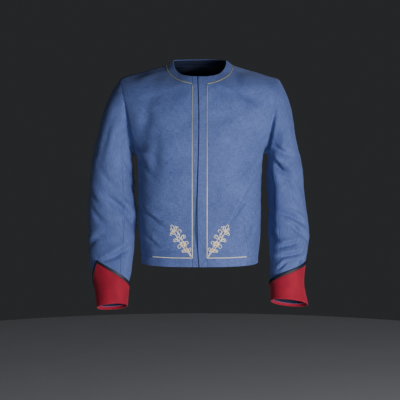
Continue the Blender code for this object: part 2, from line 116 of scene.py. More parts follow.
@dataclass(frozen=True)
class NeckLine:
    """A ring round the neck, given at the shoulder seam, the front and the back."""

    half_width: float
    shoulder_y: float
    shoulder_z: float
    front_depth: float
    back_depth: float
    front_fall: float
    back_rise: float
    roundness: float

    def point(self, turn: Array) -> Array:
        """Points of the ring.

        Args:
            turn: degrees from the middle front (0) over the shoulder (90) to the back (180).

        Returns:
            Points of the wearer's left half.
        """
        c = np.cos(np.radians(turn))
        front = c > 0
        fall = 1 - (1 - np.clip(c, 0, 1)) ** self.roundness
        return np.stack(
            [
                self.half_width * np.sin(np.radians(turn)),
                self.shoulder_y - np.where(front, self.front_depth, self.back_depth) * c,
                self.shoulder_z - np.where(front, self.front_fall * fall, self.back_rise * c),
            ],
            axis=-1,
        )

    def turn_at(self, x: float) -> float:
        """Turn in degrees at which the ring stands beside the front band."""
        return math.degrees(math.asin(x / self.half_width))


@dataclass(frozen=True)
class Ring:
    """One section of a sleeve, seen from the shoulder down to the wrist."""

    x: float
    y: float
    z: float
    half_width: float
    half_depth: float
    roll: float
    pitch: float
    squareness: float


@dataclass(frozen=True)
class Crease:
    """A soft trough (or, with a negative depth, a ridge) pressed into the cloth.

    across and height place its middle: X and Z in metres on the body, the turn in
    degrees and Z on a sleeve. The lip is the ridge that the cloth throws up beside it,
    as a share of the depth, above the trough where it is positive.
    """

    across: float
    height: float
    slant: float
    half_length: float
    half_width: float
    depth: float
    lip: float = 0.45
    bend: float = 0.0

    def press(self, p: Array, q: Array) -> Array:
        """How far the crease presses the cloth in.

        Args:
            p: distance across from the crease's middle.
            q: distance up from the crease's middle.

        Returns:
            Depth in metres, negative where the cloth stands up.
        """
        slant = math.radians(self.slant)
        along = (p * math.cos(slant) + q * math.sin(slant)) / self.half_length
        over = (q * math.cos(slant) - p * math.sin(slant)) / self.half_width
        over = over + self.bend * along**2
        fade = np.exp(-(along**2))
        side = math.copysign(1.0, self.lip)
        ridge = abs(self.lip) * np.exp(-(((over - side * 1.9) / 1.15) ** 2))
        return self.depth * fade * (np.exp(-(over**2)) - ridge)


BODY_LEVELS = (
    Level(-0.531, 0.1590, 0.112, 0.100),
    Level(-0.500, 0.1610, 0.112, 0.097),
    Level(-0.430, 0.1660, 0.112, 0.093),
    Level(-0.370, 0.1665, 0.113, 0.094),
    Level(-0.310, 0.1670, 0.116, 0.101),
    Level(-0.265, 0.1690, 0.119, 0.107),
    Level(-0.235, 0.1740, 0.121, 0.111),
)
CHEST_LINE = (
    Spine(-0.235, 0.1210),
    Spine(-0.195, 0.1225),
    Spine(-0.155, 0.1215),
    Spine(-0.115, 0.1165),
    Spine(-0.080, 0.1055),
    Spine(-0.0507, 0.0902),
)
SPINE_LINE = (
    Spine(-0.235, 0.1110),
    Spine(-0.180, 0.1175),
    Spine(-0.120, 0.1165),
    Spine(-0.070, 0.1070),
    Spine(-0.030, 0.0900),
    Spine(0.004, 0.0710),
)
RIGHT_RINGS = (
    Ring(0.2320, 0.010, -0.2335, 0.0567, 0.070, 30.0, 0.0, 2.1),
    Ring(0.2369, 0.014, -0.2810, 0.0586, 0.069, 14.0, 0.0, 2.2),
    Ring(0.2384, 0.016, -0.3320, 0.0615, 0.066, 4.0, 3.0, 2.3),
    Ring(0.2379, 0.009, -0.3950, 0.0655, 0.062, 0.0, 8.0, 2.4),
    Ring(0.2383, -0.009, -0.4600, 0.0632, 0.058, 0.0, 14.0, 2.3),
    Ring(0.2398, -0.028, -0.5170, 0.0585, 0.053, 0.0, 18.0, 2.2),
    Ring(0.2373, -0.043, -0.5550, 0.0520, 0.048, 0.0, 19.0, 2.1),
    Ring(0.2350, -0.056, -0.5910, 0.0440, 0.043, -2.0, 20.0, 2.1),
    Ring(0.2331, -0.074, -0.6420, 0.0388, 0.039, -5.0, 20.0, 2.1),
)
LEFT_RINGS = (
    Ring(0.2243, 0.010, -0.2405, 0.0476, 0.070, 27.0, 0.0, 2.1),
    Ring(0.2282, 0.014, -0.2810, 0.0505, 0.068, 10.0, 0.0, 2.3),
    Ring(0.2326, 0.016, -0.3290, 0.0510, 0.066, 3.0, 3.0, 2.4),
    Ring(0.2373, 0.009, -0.3920, 0.0529, 0.062, 0.0, 8.0, 2.5),
    Ring(0.2413, -0.009, -0.4560, 0.0550, 0.058, 0.0, 14.0, 2.3),
    Ring(0.2390, -0.028, -0.5140, 0.0494, 0.053, 0.0, 18.0, 2.2),
    Ring(0.2345, -0.043, -0.5480, 0.0452, 0.048, 0.0, 19.0, 2.1),
    Ring(0.2335, -0.056, -0.5850, 0.0432, 0.045, -3.0, 20.0, 2.1),
    Ring(0.2392, -0.074, -0.6320, 0.0475, 0.044, -7.0, 20.0, 2.1),
)

OPENING_LINE = (
    Opening(-0.531, -0.0020, 0.0015),
    Opening(-0.507, -0.0042, 0.0016),
    Opening(-0.475, -0.0068, 0.0022),
    Opening(-0.440, -0.0096, 0.0044),
    Opening(-0.405, -0.0094, 0.0038),
    Opening(-0.370, -0.0085, 0.0027),
    Opening(-0.323, -0.0064, 0.0018),
    Opening(-0.229, -0.0038, 0.0015),
    Opening(-0.134, -0.0025, 0.0015),
    Opening(-0.040, -0.0051, 0.0015),
)

FRONT_CREASES = (
    Crease(0.106, -0.379, 56.0, 0.034, 0.0060, 0.0072, 0.5),
    Crease(0.139, -0.328, 57.0, 0.030, 0.0070, 0.0040, 0.4),
    Crease(0.104, -0.060, -58.0, 0.030, 0.0140, 0.0090, 0.2),
    Crease(0.128, -0.082, -30.0, 0.026, 0.0120, 0.0040, 0.2),
    Crease(-0.143, -0.145, 80.0, 0.048, 0.0180, 0.0062, 0.0),
    Crease(-0.064, -0.147, -30.0, 0.055, 0.0110, 0.0026, 0.3),
    Crease(-0.118, -0.235, 86.0, 0.060, 0.0150, 0.0044, -0.3),
    Crease(-0.134, -0.400, -33.0, 0.027, 0.0065, 0.0064, 0.5),
    Crease(-0.106, -0.423, -30.0, 0.036, 0.0090, 0.0030, 0.4),
    Crease(-0.083, -0.488, 4.0, 0.044, 0.0060, 0.0032, 0.5),
    Crease(0.074, -0.489, -4.0, 0.036, 0.0060, 0.0026, 0.5),
    Crease(0.121, -0.472, 44.0, 0.022, 0.0055, 0.0030, 0.5),
    Crease(-0.126, -0.468, -40.0, 0.022, 0.0055, 0.0030, 0.5),
    Crease(0.142, -0.440, 74.0, 0.030, 0.0070, 0.0026, 0.4),
    Crease(0.061, -0.140, 22.0, 0.060, 0.0150, 0.0020, 0.3),
    Crease(0.150, -0.256, 50.0, 0.038, 0.0090, 0.0046, 0.4),
    Crease(0.128, -0.292, 40.0, 0.044, 0.0100, 0.0024, 0.4),
    Crease(-0.150, -0.268, -52.0, 0.036, 0.0090, 0.0040, 0.4),
    Crease(0.060, -0.300, 14.0, 0.060, 0.0160, 0.0018, 0.3),
    Crease(-0.055, -0.330, -14.0, 0.055, 0.0160, 0.0018, 0.3),
    Crease(0.046, -0.440, 62.0, 0.034, 0.0080, 0.0016, 0.4),
    Crease(-0.062, -0.372, -28.0, 0.040, 0.0090, 0.0015, 0.4),
    Crease(0.085, -0.190, 66.0, 0.045, 0.0120, 0.0018, 0.3),
)
BACK_CREASES = (
    Crease(0.000, -0.372, 2.0, 0.060, 0.0080, 0.0030, 0.5, 0.25),
    Crease(-0.055, -0.412, -9.0, 0.050, 0.0075, 0.0024, 0.5),
    Crease(0.070, -0.428, 11.0, 0.044, 0.0080, 0.0022, 0.5),
    Crease(-0.122, -0.250, 52.0, 0.045, 0.0100, 0.0032, 0.4),
    Crease(0.126, -0.262, -49.0, 0.040, 0.0095, 0.0036, 0.4),
    Crease(-0.098, -0.322, 34.0, 0.040, 0.0085, 0.0022, 0.5),
    Crease(0.092, -0.338, -30.0, 0.044, 0.0090, 0.0024, 0.5),
    Crease(0.020, -0.052, 4.0, 0.050, 0.0100, 0.0022, 0.4, 0.2),
    Crease(-0.090, -0.090, 60.0, 0.040, 0.0120, 0.0018, 0.3),
    Crease(0.104, -0.110, -66.0, 0.038, 0.0120, 0.0016, 0.3),
    Crease(0.004, -0.210, 88.0, 0.080, 0.0120, 0.0018, 0.0),
    Crease(-0.100, -0.478, -4.0, 0.040, 0.0060, 0.0014, 0.5),
    Crease(0.086, -0.484, 5.0, 0.034, 0.0060, 0.0014, 0.5),
)
RIGHT_CREASES = (
    Crease(112.0, -0.379, -47.0, 0.038, 0.0075, 0.0098, 0.5),
    Crease(96.0, -0.398, -50.0, 0.036, 0.0090, -0.0028, 0.0),
    Crease(66.0, -0.410, -46.0, 0.034, 0.0085, 0.0066, 0.4),
    Crease(122.0, -0.497, 27.0, 0.026, 0.0085, 0.0086, 0.4),
    Crease(90.0, -0.512, 24.0, 0.026, 0.0060, 0.0034, 0.5),
    Crease(85.0, -0.308, -56.0, 0.032, 0.0090, 0.0042, 0.4),
    Crease(64.0, -0.200, 84.0, 0.055, 0.0120, 0.0036, -0.3),
    Crease(100.0, -0.170, 80.0, 0.055, 0.0100, 0.0030, 0.4),
    Crease(138.0, -0.262, -60.0, 0.034, 0.0080, 0.0050, 0.4),
    Crease(40.0, -0.352, -38.0, 0.032, 0.0090, 0.0040, 0.4),
    Crease(42.0, -0.470, 34.0, 0.030, 0.0080, 0.0038, 0.4),
    Crease(74.0, -0.462, -34.0, 0.030, 0.0080, 0.0026, 0.4),
    Crease(150.0, -0.420, -52.0, 0.040, 0.0100, 0.0060, 0.4),
    Crease(176.0, -0.340, -40.0, 0.036, 0.0100, 0.0050, 0.4),
    Crease(255.0, -0.395, 15.0, 0.050, 0.0105, 0.0070, 0.5),
    Crease(280.0, -0.455, -20.0, 0.045, 0.0095, 0.0062, 0.5),
    Crease(228.0, -0.332, -36.0, 0.036, 0.0090, 0.0050, 0.4),
    Crease(302.0, -0.356, 30.0, 0.034, 0.0085, 0.0044, 0.4),
    Crease(262.0, -0.512, 12.0, 0.030, 0.0075, 0.0044, 0.5),
    Crease(322.0, -0.246, 66.0, 0.040, 0.0110, 0.0036, 0.3),
    Crease(248.0, -0.232, -48.0, 0.040, 0.0100, 0.0050, 0.4),
)
LEFT_CREASES = (
    Crease(115.0, -0.268, 38.0, 0.032, 0.0092, 0.0250, 0.25),
    Crease(108.0, -0.243, 34.0, 0.028, 0.0110, -0.0090, 0.0),
    Crease(98.0, -0.229, 22.0, 0.034, 0.0070, 0.0080, 0.5, -0.3),
    Crease(90.0, -0.309, 30.0, 0.016, 0.0055, 0.0046, 0.4),
    Crease(157.0, -0.330, 86.0, 0.066, 0.0210, 0.0270, 0.0),
    Crease(158.0, -0.430, 80.0, 0.050, 0.0170, 0.0100, 0.0),
    Crease(78.0, -0.406, 28.0, 0.032, 0.0062, 0.0084, 0.5, 0.25),
    Crease(76.0, -0.436, 46.0, 0.020, 0.0056, 0.0072, 0.5),
    Crease(95.0, -0.477, -15.0, 0.028, 0.0054, 0.0062, 0.5),
    Crease(86.0, -0.503, -9.0, 0.036, 0.0056, 0.0070, 0.5),
    Crease(109.0, -0.530, -34.0, 0.016, 0.0045, 0.0052, 0.5),
    Crease(40.0, -0.520, -52.0, 0.018, 0.0075, 0.0080, 0.4),
    Crease(44.0, -0.455, 34.0, 0.026, 0.0070, 0.0046, 0.4),
    Crease(70.0, -0.352, 52.0, 0.034, 0.0090, 0.0036, 0.4),
    Crease(74.0, -0.170, 84.0, 0.055, 0.0120, 0.0028, 0.3),
    Crease(150.0, -0.450, 40.0, 0.030, 0.0080, 0.0046, 0.4),
    Crease(176.0, -0.400, 34.0, 0.034, 0.0090, 0.0040, 0.4),
    Crease(260.0, -0.400, -16.0, 0.050, 0.0105, 0.0070, 0.5),
    Crease(275.0, -0.465, 20.0, 0.045, 0.0095, 0.0062, 0.5),
    Crease(232.0, -0.336, 34.0, 0.036, 0.0090, 0.0054, 0.4),
    Crease(304.0, -0.348, -28.0, 0.034, 0.0085, 0.0044, 0.4),
    Crease(250.0, -0.520, -10.0, 0.030, 0.0075, 0.0046, 0.5),
    Crease(318.0, -0.240, -62.0, 0.040, 0.0110, 0.0034, 0.3),
    Crease(244.0, -0.240, 46.0, 0.040, 0.0100, 0.0052, 0.4),
)


def smoothstep(x: Array) -> Array:
    """Smooth 0 to 1 ramp of x, held outside 0 to 1."""
    x = np.clip(x, 0.0, 1.0)
    return x * x * (3 - 2 * x)


def spline(values: Array, position: Array) -> Array:
    """Smooth (Catmull-Rom) reading of a table of equally spaced values.

    Args:
        values: the table, one row for each value or set of values.
        position: places in the table, as float row numbers.

    Returns:
        The values at those places.
    """
    last = len(values) - 1
    position = np.clip(position, 0.0, last)
    index = np.minimum(position.astype(int), last - 1)
    ends = [2 * values[:1] - values[1:2], values, 2 * values[-1:] - values[-2:-1]]
    padded = np.concatenate(ends)
    p0, p1, p2, p3 = (padded[index + step] for step in range(4))
    t = position - index
    if values.ndim > 1:
        t = t[..., None]
    bend = 2 * p0 - 5 * p1 + 4 * p2 - p3
    twist = 3 * p1 - p0 - 3 * p2 + p3
    return 0.5 * (2 * p1 + (p2 - p0) * t + bend * t**2 + twist * t**3)


def table_value(rows: tuple, name: str, z: Array) -> Array:
    """A named column of a table of rows with rising z, read smoothly.

    Args:
        rows: the table's rows.
        name: the column to read.
        z: heights to read it at.

    Returns:
        The column's value at each height.
    """
    heights = [row.z for row in rows]
    place = np.interp(z, heights, range(len(rows)))
    return spline(np.array([getattr(row, name) for row in rows]), place)


def unit(vectors: Array) -> Array:
    """The vectors at length one."""
    return vectors / np.maximum(np.linalg.norm(vectors, axis=-1, keepdims=True), 1e-12)


def run_lengths(points: Array, axis: int) -> Array:
    """Distance walked along one axis of a grid of points, from its first line."""
    steps = np.linalg.norm(np.diff(points, axis=axis), axis=-1)
    start = np.zeros_like(np.take(steps, [0], axis=axis))
    return np.concatenate([start, np.cumsum(steps, axis=axis)], axis=axis)


def finer(start: float, stop: float, steps: int, seams: tuple[float, ...], near: float) -> Array:
    """Even parameter values with an extra one close to each seam, so that it rolls in.

    Args:
        start: first value.
        stop: last value.
        steps: even steps between them.
        seams: values at which a seam lies.
        near: distance of the extra values from a seam.

    Returns:
        Sorted values.
    """
    even = np.linspace(start, stop, steps + 1)
    extra = [seam + way * near for seam in seams for way in (-1, 1)]
    inside = [value for value in extra if start + near / 2 < value < stop - near / 2]
    return np.unique(np.round(np.concatenate([even, inside]), 9))


@dataclass(frozen=True)
class JacketForm:
    """Outer form of body, neck and sleeves, without creases; sizes as on the solids."""

    hem_z: float = -0.531
    hem_band_height: float = 0.024
    side_seam_y: float = 0.006
    body_rows: int = 9
    armhole_rows: int = 12
    squareness: float = 2.35
    front_band_x: float = 0.0195
    lap_rise: float = 0.0008
    front_neck_row: int = 16
    back_neck_row: int = 17
    armpit: tuple[float, float, float] = (0.1740, 0.006, -0.2350)
    armhole_front_depth: float = 0.060
    armhole_back_depth: float = 0.066
    armhole_meet: float = math.radians(60.0)
    armhole_ease: float = 0.28
    neck_seam: NeckLine = NeckLine(0.0895, 0.005, 0.0020, 0.0975, 0.066, 0.0540, 0.002, 1.0)
    neck_edge: NeckLine = NeckLine(0.0715, 0.005, 0.0147, 0.0810, 0.052, 0.0457, 0.006, 1.4)

    @property
    def top_row(self) -> int:
        """Row number of the shoulder seam."""
        return self.body_rows + self.armhole_rows

    def armhole(self, tip: tuple, turn: Array) -> Array:
        """Armhole seam of the wearer's left.

        Args:
            tip: the shoulder tip.
            turn: degrees: 0 the tip, 90 the front, 180 the armpit, 270 the back.

        Returns:
            Points of the seam.
        """
        top = np.array(tip)
        pit = np.array(self.armpit)
        across = np.sin(np.radians(turn))
        depth = np.where(across > 0, self.armhole_front_depth, self.armhole_back_depth)
        along = np.cos(np.radians(turn))[..., None]
        points = (top + pit) / 2 + (top - pit) / 2 * along
        points[..., 1] -= depth * across
        return points

    def side_edge(self, tip: tuple, facing: Facing, v: Array) -> tuple[Array, Array]:
        """Side seam and armhole edge of a panel.

        Args:
            tip: the shoulder tip.
            facing: front or back.
            v: row numbers: -1 the hem, 0 the hem band's seam, 9 the armpit, 21 the shoulder.

        Returns:
            Edge points, and each row's sweep angle.
        """
        hem_top = self.hem_z + self.hem_band_height
        z = np.interp(v, [-1, 0, self.body_rows], [self.hem_z, hem_top, self.armpit[2]])
        width = table_value(BODY_LEVELS, "half_width", z)
        side = np.stack([width, np.full_like(z, self.side_seam_y), z], axis=-1)
        share = np.clip((v - self.body_rows) / self.armhole_rows, 0, 1)
        rim = self.armhole(tip, 180.0 - facing.value * 180.0 * share)
        edge = np.where((v < self.body_rows)[:, None], side, rim)
        ease = smoothstep(share / self.armhole_ease)
        return edge, math.pi / 2 + (self.armhole_meet - math.pi / 2) * ease

    def middle_edge(self, facing: Facing, v: Array) -> Array:
        """Inner edge of a panel: up the middle, then round the neck."""
        front = facing is Facing.FRONT
        x = self.front_band_x if front else 0.0
        neck_row = self.front_neck_row if front else self.back_neck_row
        line = CHEST_LINE if front else SPINE_LINE
        start = self.neck_seam.turn_at(x) if front else 180.0
        top = float(self.neck_seam.point(np.array(start))[2])
        hem_top = self.hem_z + self.hem_band_height
        places = [-1, 0, self.body_rows, neck_row]
        z = np.interp(v, places, [self.hem_z, hem_top, line[0].z, top])
        low = table_value(BODY_LEVELS, "front_depth" if front else "back_depth", z)
        high = table_value(line, "depth", z)
        depth = np.where(v < self.body_rows, low, high)
        middle = np.stack([np.full_like(z, x), -facing.value * depth, z], axis=-1)
        share = np.clip((v - neck_row) / (self.top_row - neck_row), 0, 1)
        neck = self.neck_seam.point(start + (90.0 - start) * share)
        return np.where((v < neck_row)[:, None], middle, neck)

    def panel(self, half: Half, tip: tuple, facing: Facing, v: Array, u: Array) -> Array:
        """Points of a front or half back.

        Args:
            half: the wearer's right or left.
            tip: the shoulder tip.
            facing: front or back.
            v: row numbers.
            u: places across, from the middle edge (0) to the side edge (1).

        Returns:
            Grid of points, rows by columns.
        """
        outer, sweep = self.side_edge(tip, facing, v)
        inner = self.middle_edge(facing, v)
        power = 2.0 / self.squareness
        angle = sweep[:, None] * u[None, :]
        end_rise = np.maximum(np.cos(sweep), 0.0) ** power
        run = np.sin(angle) ** power / (np.sin(sweep) ** power)[:, None]
        rise = np.maximum(np.cos(angle), 0.0) ** power - end_rise[:, None]
        rise = rise / (1.0 - end_rise)[:, None]
        share = np.stack([run, 1 - rise, run], axis=-1)
        points = inner[:, None, :] + (outer - inner)[:, None, :] * share
        points[..., 0] *= half.value
        return points

    def split(self, z: Array) -> tuple[Array, Array]:
        """Middle and half width of the opening between the two fronts."""
        middle = table_value(OPENING_LINE, "middle", z)
        return middle, table_value(OPENING_LINE, "half_gap", z)

    def front_band(self, half: Half, seam: Array, places: Array) -> Array:
        """Points of a front band.

        Args:
            half: the wearer's right or left.
            seam: the band's seam line to the panel, hem to neck edge.
            places: places across, from the opening (0) to the seam (1).

        Returns:
            Grid of points, rows by columns.
        """
        rise = self.lap_rise if half is Half.LEFT else 0.0
        middle, half_gap = self.split(seam[:, 2])
        edge = seam.copy()
        edge[:, 0] = middle + half.value * half_gap
        edge[:, 1] -= rise
        return edge[:, None, :] + (seam - edge)[:, None, :] * places[None, :, None]

    def neck_corner(self, half: Half) -> Array:
        """Upper end of the front band's seam, on the neck edge."""
        turn = self.neck_edge.turn_at(self.front_band_x)
        point = self.neck_edge.point(np.array(turn))
        point[0] *= half.value
        return point

    def neckband(self, half: Half, facing: Facing, places: Array, across: Array) -> Array:
        """Points of one quarter of the neckband.

        Args:
            half: the wearer's right or left.
            facing: front or back quarter.
            places: places round the neck, from the middle edge (0) to the shoulder (1).
            across: places from the neck seam (0) to the neck edge (1).

        Returns:
            Grid of points, rows across the band by columns round the neck.
        """
        front = facing is Facing.FRONT
        lines = []
        for line in (self.neck_seam, self.neck_edge):
            start = line.turn_at(self.front_band_x) if front else 180.0
            lines.append(line.point(start + (90.0 - start) * places))
        seam, edge = lines
        points = seam[None] + (edge - seam)[None] * across[:, None, None]
        points[..., 0] *= half.value
        return points


@dataclass(frozen=True)
class SleeveForm:
    """Outer form of one sleeve, without creases, and the line of its cuff."""

    half: Half
    body: JacketForm
    tip: tuple[float, float, float]
    lead: tuple[float, float, float]
    rings: tuple[Ring, ...]
    cuff_peak: float
    cuff_front_spread: float
    cuff_back_spread: float
    under_lead: tuple[float, float, float] = (0.90, 0.0, -0.44)
    fullness: float = 1.25
    cuff_base: float = 6.85
    cuff_peak_place: float = 5.35
    cuff_front_hollow: float = 1.7
    cuff_back_hollow: float = 1.2

    def ring(self, turn: Array, place: Array) -> Array:
        """Points of the sleeve's rings: place 0 is the upper arm, 8 the wrist."""
        table = np.array([astuple(ring) for ring in self.rings])
        x, y, z, width, depth, roll, pitch, square = np.moveaxis(spline(table, place), -1, 0)
        power = 2.0 / square
        c = np.cos(np.radians(turn))
        s = np.sin(np.radians(turn))
        out = np.sign(c) * np.abs(c) ** power * width
        fore = np.sign(s) * np.abs(s) ** power * depth
        roll = np.radians(roll)
        pitch = np.radians(pitch)
        return np.stack(
            [
                x + out * np.cos(roll),
                y - fore * np.cos(pitch),
                z + out * np.sin(roll) + fore * np.sin(pitch),
            ],
            axis=-1,
        )

    def point(self, turn: Array, place: Array) -> Array:
        """Points of the sleeve.

        Args:
            turn: degrees round the arm: 0 outside, 90 front, 180 inside, 270 back.
            place: -1 at the armhole, 0 at the upper arm, 8 at the wrist.

        Returns:
            Points, on the sleeve's own half of the jacket.
        """
        turn, place = np.broadcast_arrays(turn, place)
        turn = turn.astype(float)
        start = self.body.armhole(self.tip, turn)
        end = self.ring(turn, np.zeros_like(turn))
        reach = self.fullness * np.linalg.norm(end - start, axis=-1, keepdims=True)
        under = (0.5 - 0.5 * np.cos(np.radians(turn)))[..., None]
        leave = unit(np.array(self.lead) * (1 - under) + np.array(self.under_lead) * under)
        arrive = unit(self.ring(turn, np.full_like(turn, 0.1)) - end)
        t = np.clip(place + 1.0, 0, 1)[..., None]
        cap = start * (2 * t**3 - 3 * t**2 + 1) + leave * reach * (t**3 - 2 * t**2 + t)
        cap = cap + end * (3 * t**2 - 2 * t**3) + arrive * reach * (t**3 - t**2)
        points = np.where((place < 0)[..., None], cap, self.ring(turn, np.maximum(place, 0.0)))
        points[..., 0] *= self.half.value
        return points

    def normal(self, turn: Array, place: Array) -> Array:
        """Outward normals of the sleeve's surface."""
        around = self.point(turn + 2.0, place) - self.point(turn - 2.0, place)
        down = self.point(turn, place + 0.04) - self.point(turn, place - 0.04)
        return unit(np.cross(around, down)) * self.half.value

    def cuff_top(self, turn: Array) -> Array:
        """Place on the sleeve of the cuff's peaked upper edge."""
        swing = (turn - self.cuff_peak + 180.0) % 360.0 - 180.0
        front = np.maximum(1 - swing / self.cuff_front_spread, 0) ** self.cuff_front_hollow
        back = np.maximum(1 + swing / self.cuff_back_spread, 0) ** self.cuff_back_hollow
        share = np.where(swing >= 0, front, back)
        return self.cuff_base - (self.cuff_base - self.cuff_peak_place) * share

    def below(self, turn: Array, place: Array, distance: float) -> Array:
        """Places that lie a distance further down the sleeve."""
        step = 0.05
        length = np.linalg.norm(self.point(turn, place + step) - self.point(turn, place), axis=-1)
        return place + step * distance / length


FORM = JacketForm()
SLEEVES = (
    SleeveForm(
        half=Half.RIGHT,
        body=FORM,
        tip=(0.2130, 0.008, -0.0320),
        lead=(0.56, 0.0, -0.83),
        rings=RIGHT_RINGS,
        cuff_peak=57.0,
        cuff_front_spread=125.0,
        cuff_back_spread=62.0,
    ),
    SleeveForm(
        half=Half.LEFT,
        body=FORM,
        tip=(0.2130, 0.008, -0.0355),
        lead=(0.54, 0.0, -0.84),
        rings=LEFT_RINGS,
        cuff_peak=10.0,
        cuff_front_spread=165.0,
        cuff_back_spread=75.0,
    ),
)


# Cloth


@dataclass
class ClothGrid:
    """A grid of points of one piece, with what the cloth does at each point."""

    piece: str
    points: Array
    push: Array
    grain: Array
    outward: float
    start: int = 0

    def quads(self) -> Array:
        """Corner numbers of the grid's faces, turned outwards."""
        rows, columns = self.points.shape[:2]
        index = self.start + np.arange(rows * columns).reshape(rows, columns)
        a, b, c, d = index[:-1, :-1], index[:-1, 1:], index[1:, 1:], index[1:, :-1]
        order = (a, b, c, d) if self.outward > 0 else (a, d, c, b)
        return np.stack([corner.ravel() for corner in order], axis=1)

    def rim(self) -> Array:
        """Numbers of the points on the grid's outline."""
        rows, columns = self.points.shape[:2]
        index = self.start + np.arange(rows * columns).reshape(rows, columns)
        return np.unique(np.concatenate([index[0], index[-1], index[:, 0], index[:, -1]]))


@dataclass(frozen=True)
class Handle:
    """Small unevenness of hanging wool: a sum of soft waves in fixed directions."""

    seed: int = 7
    waves: int = 18
    shortest: float = 0.022
    longest: float = 0.085
    height: float = 0.00016

    def at(self, points: Array) -> Array:
        """Height of the unevenness at each point, in metres."""
        draw = np.random.default_rng(self.seed)
        ways = unit(draw.normal(size=(self.waves, 3)))
        lengths = draw.uniform(self.shortest, self.longest, self.waves)
        phases = draw.uniform(0, 2 * math.pi, self.waves)
        waves = np.sin(points @ (ways * (2 * math.pi / lengths[:, None])).T + phases)
        return waves.sum(axis=-1) * self.height * np.sqrt(self.longest / self.shortest) / 2


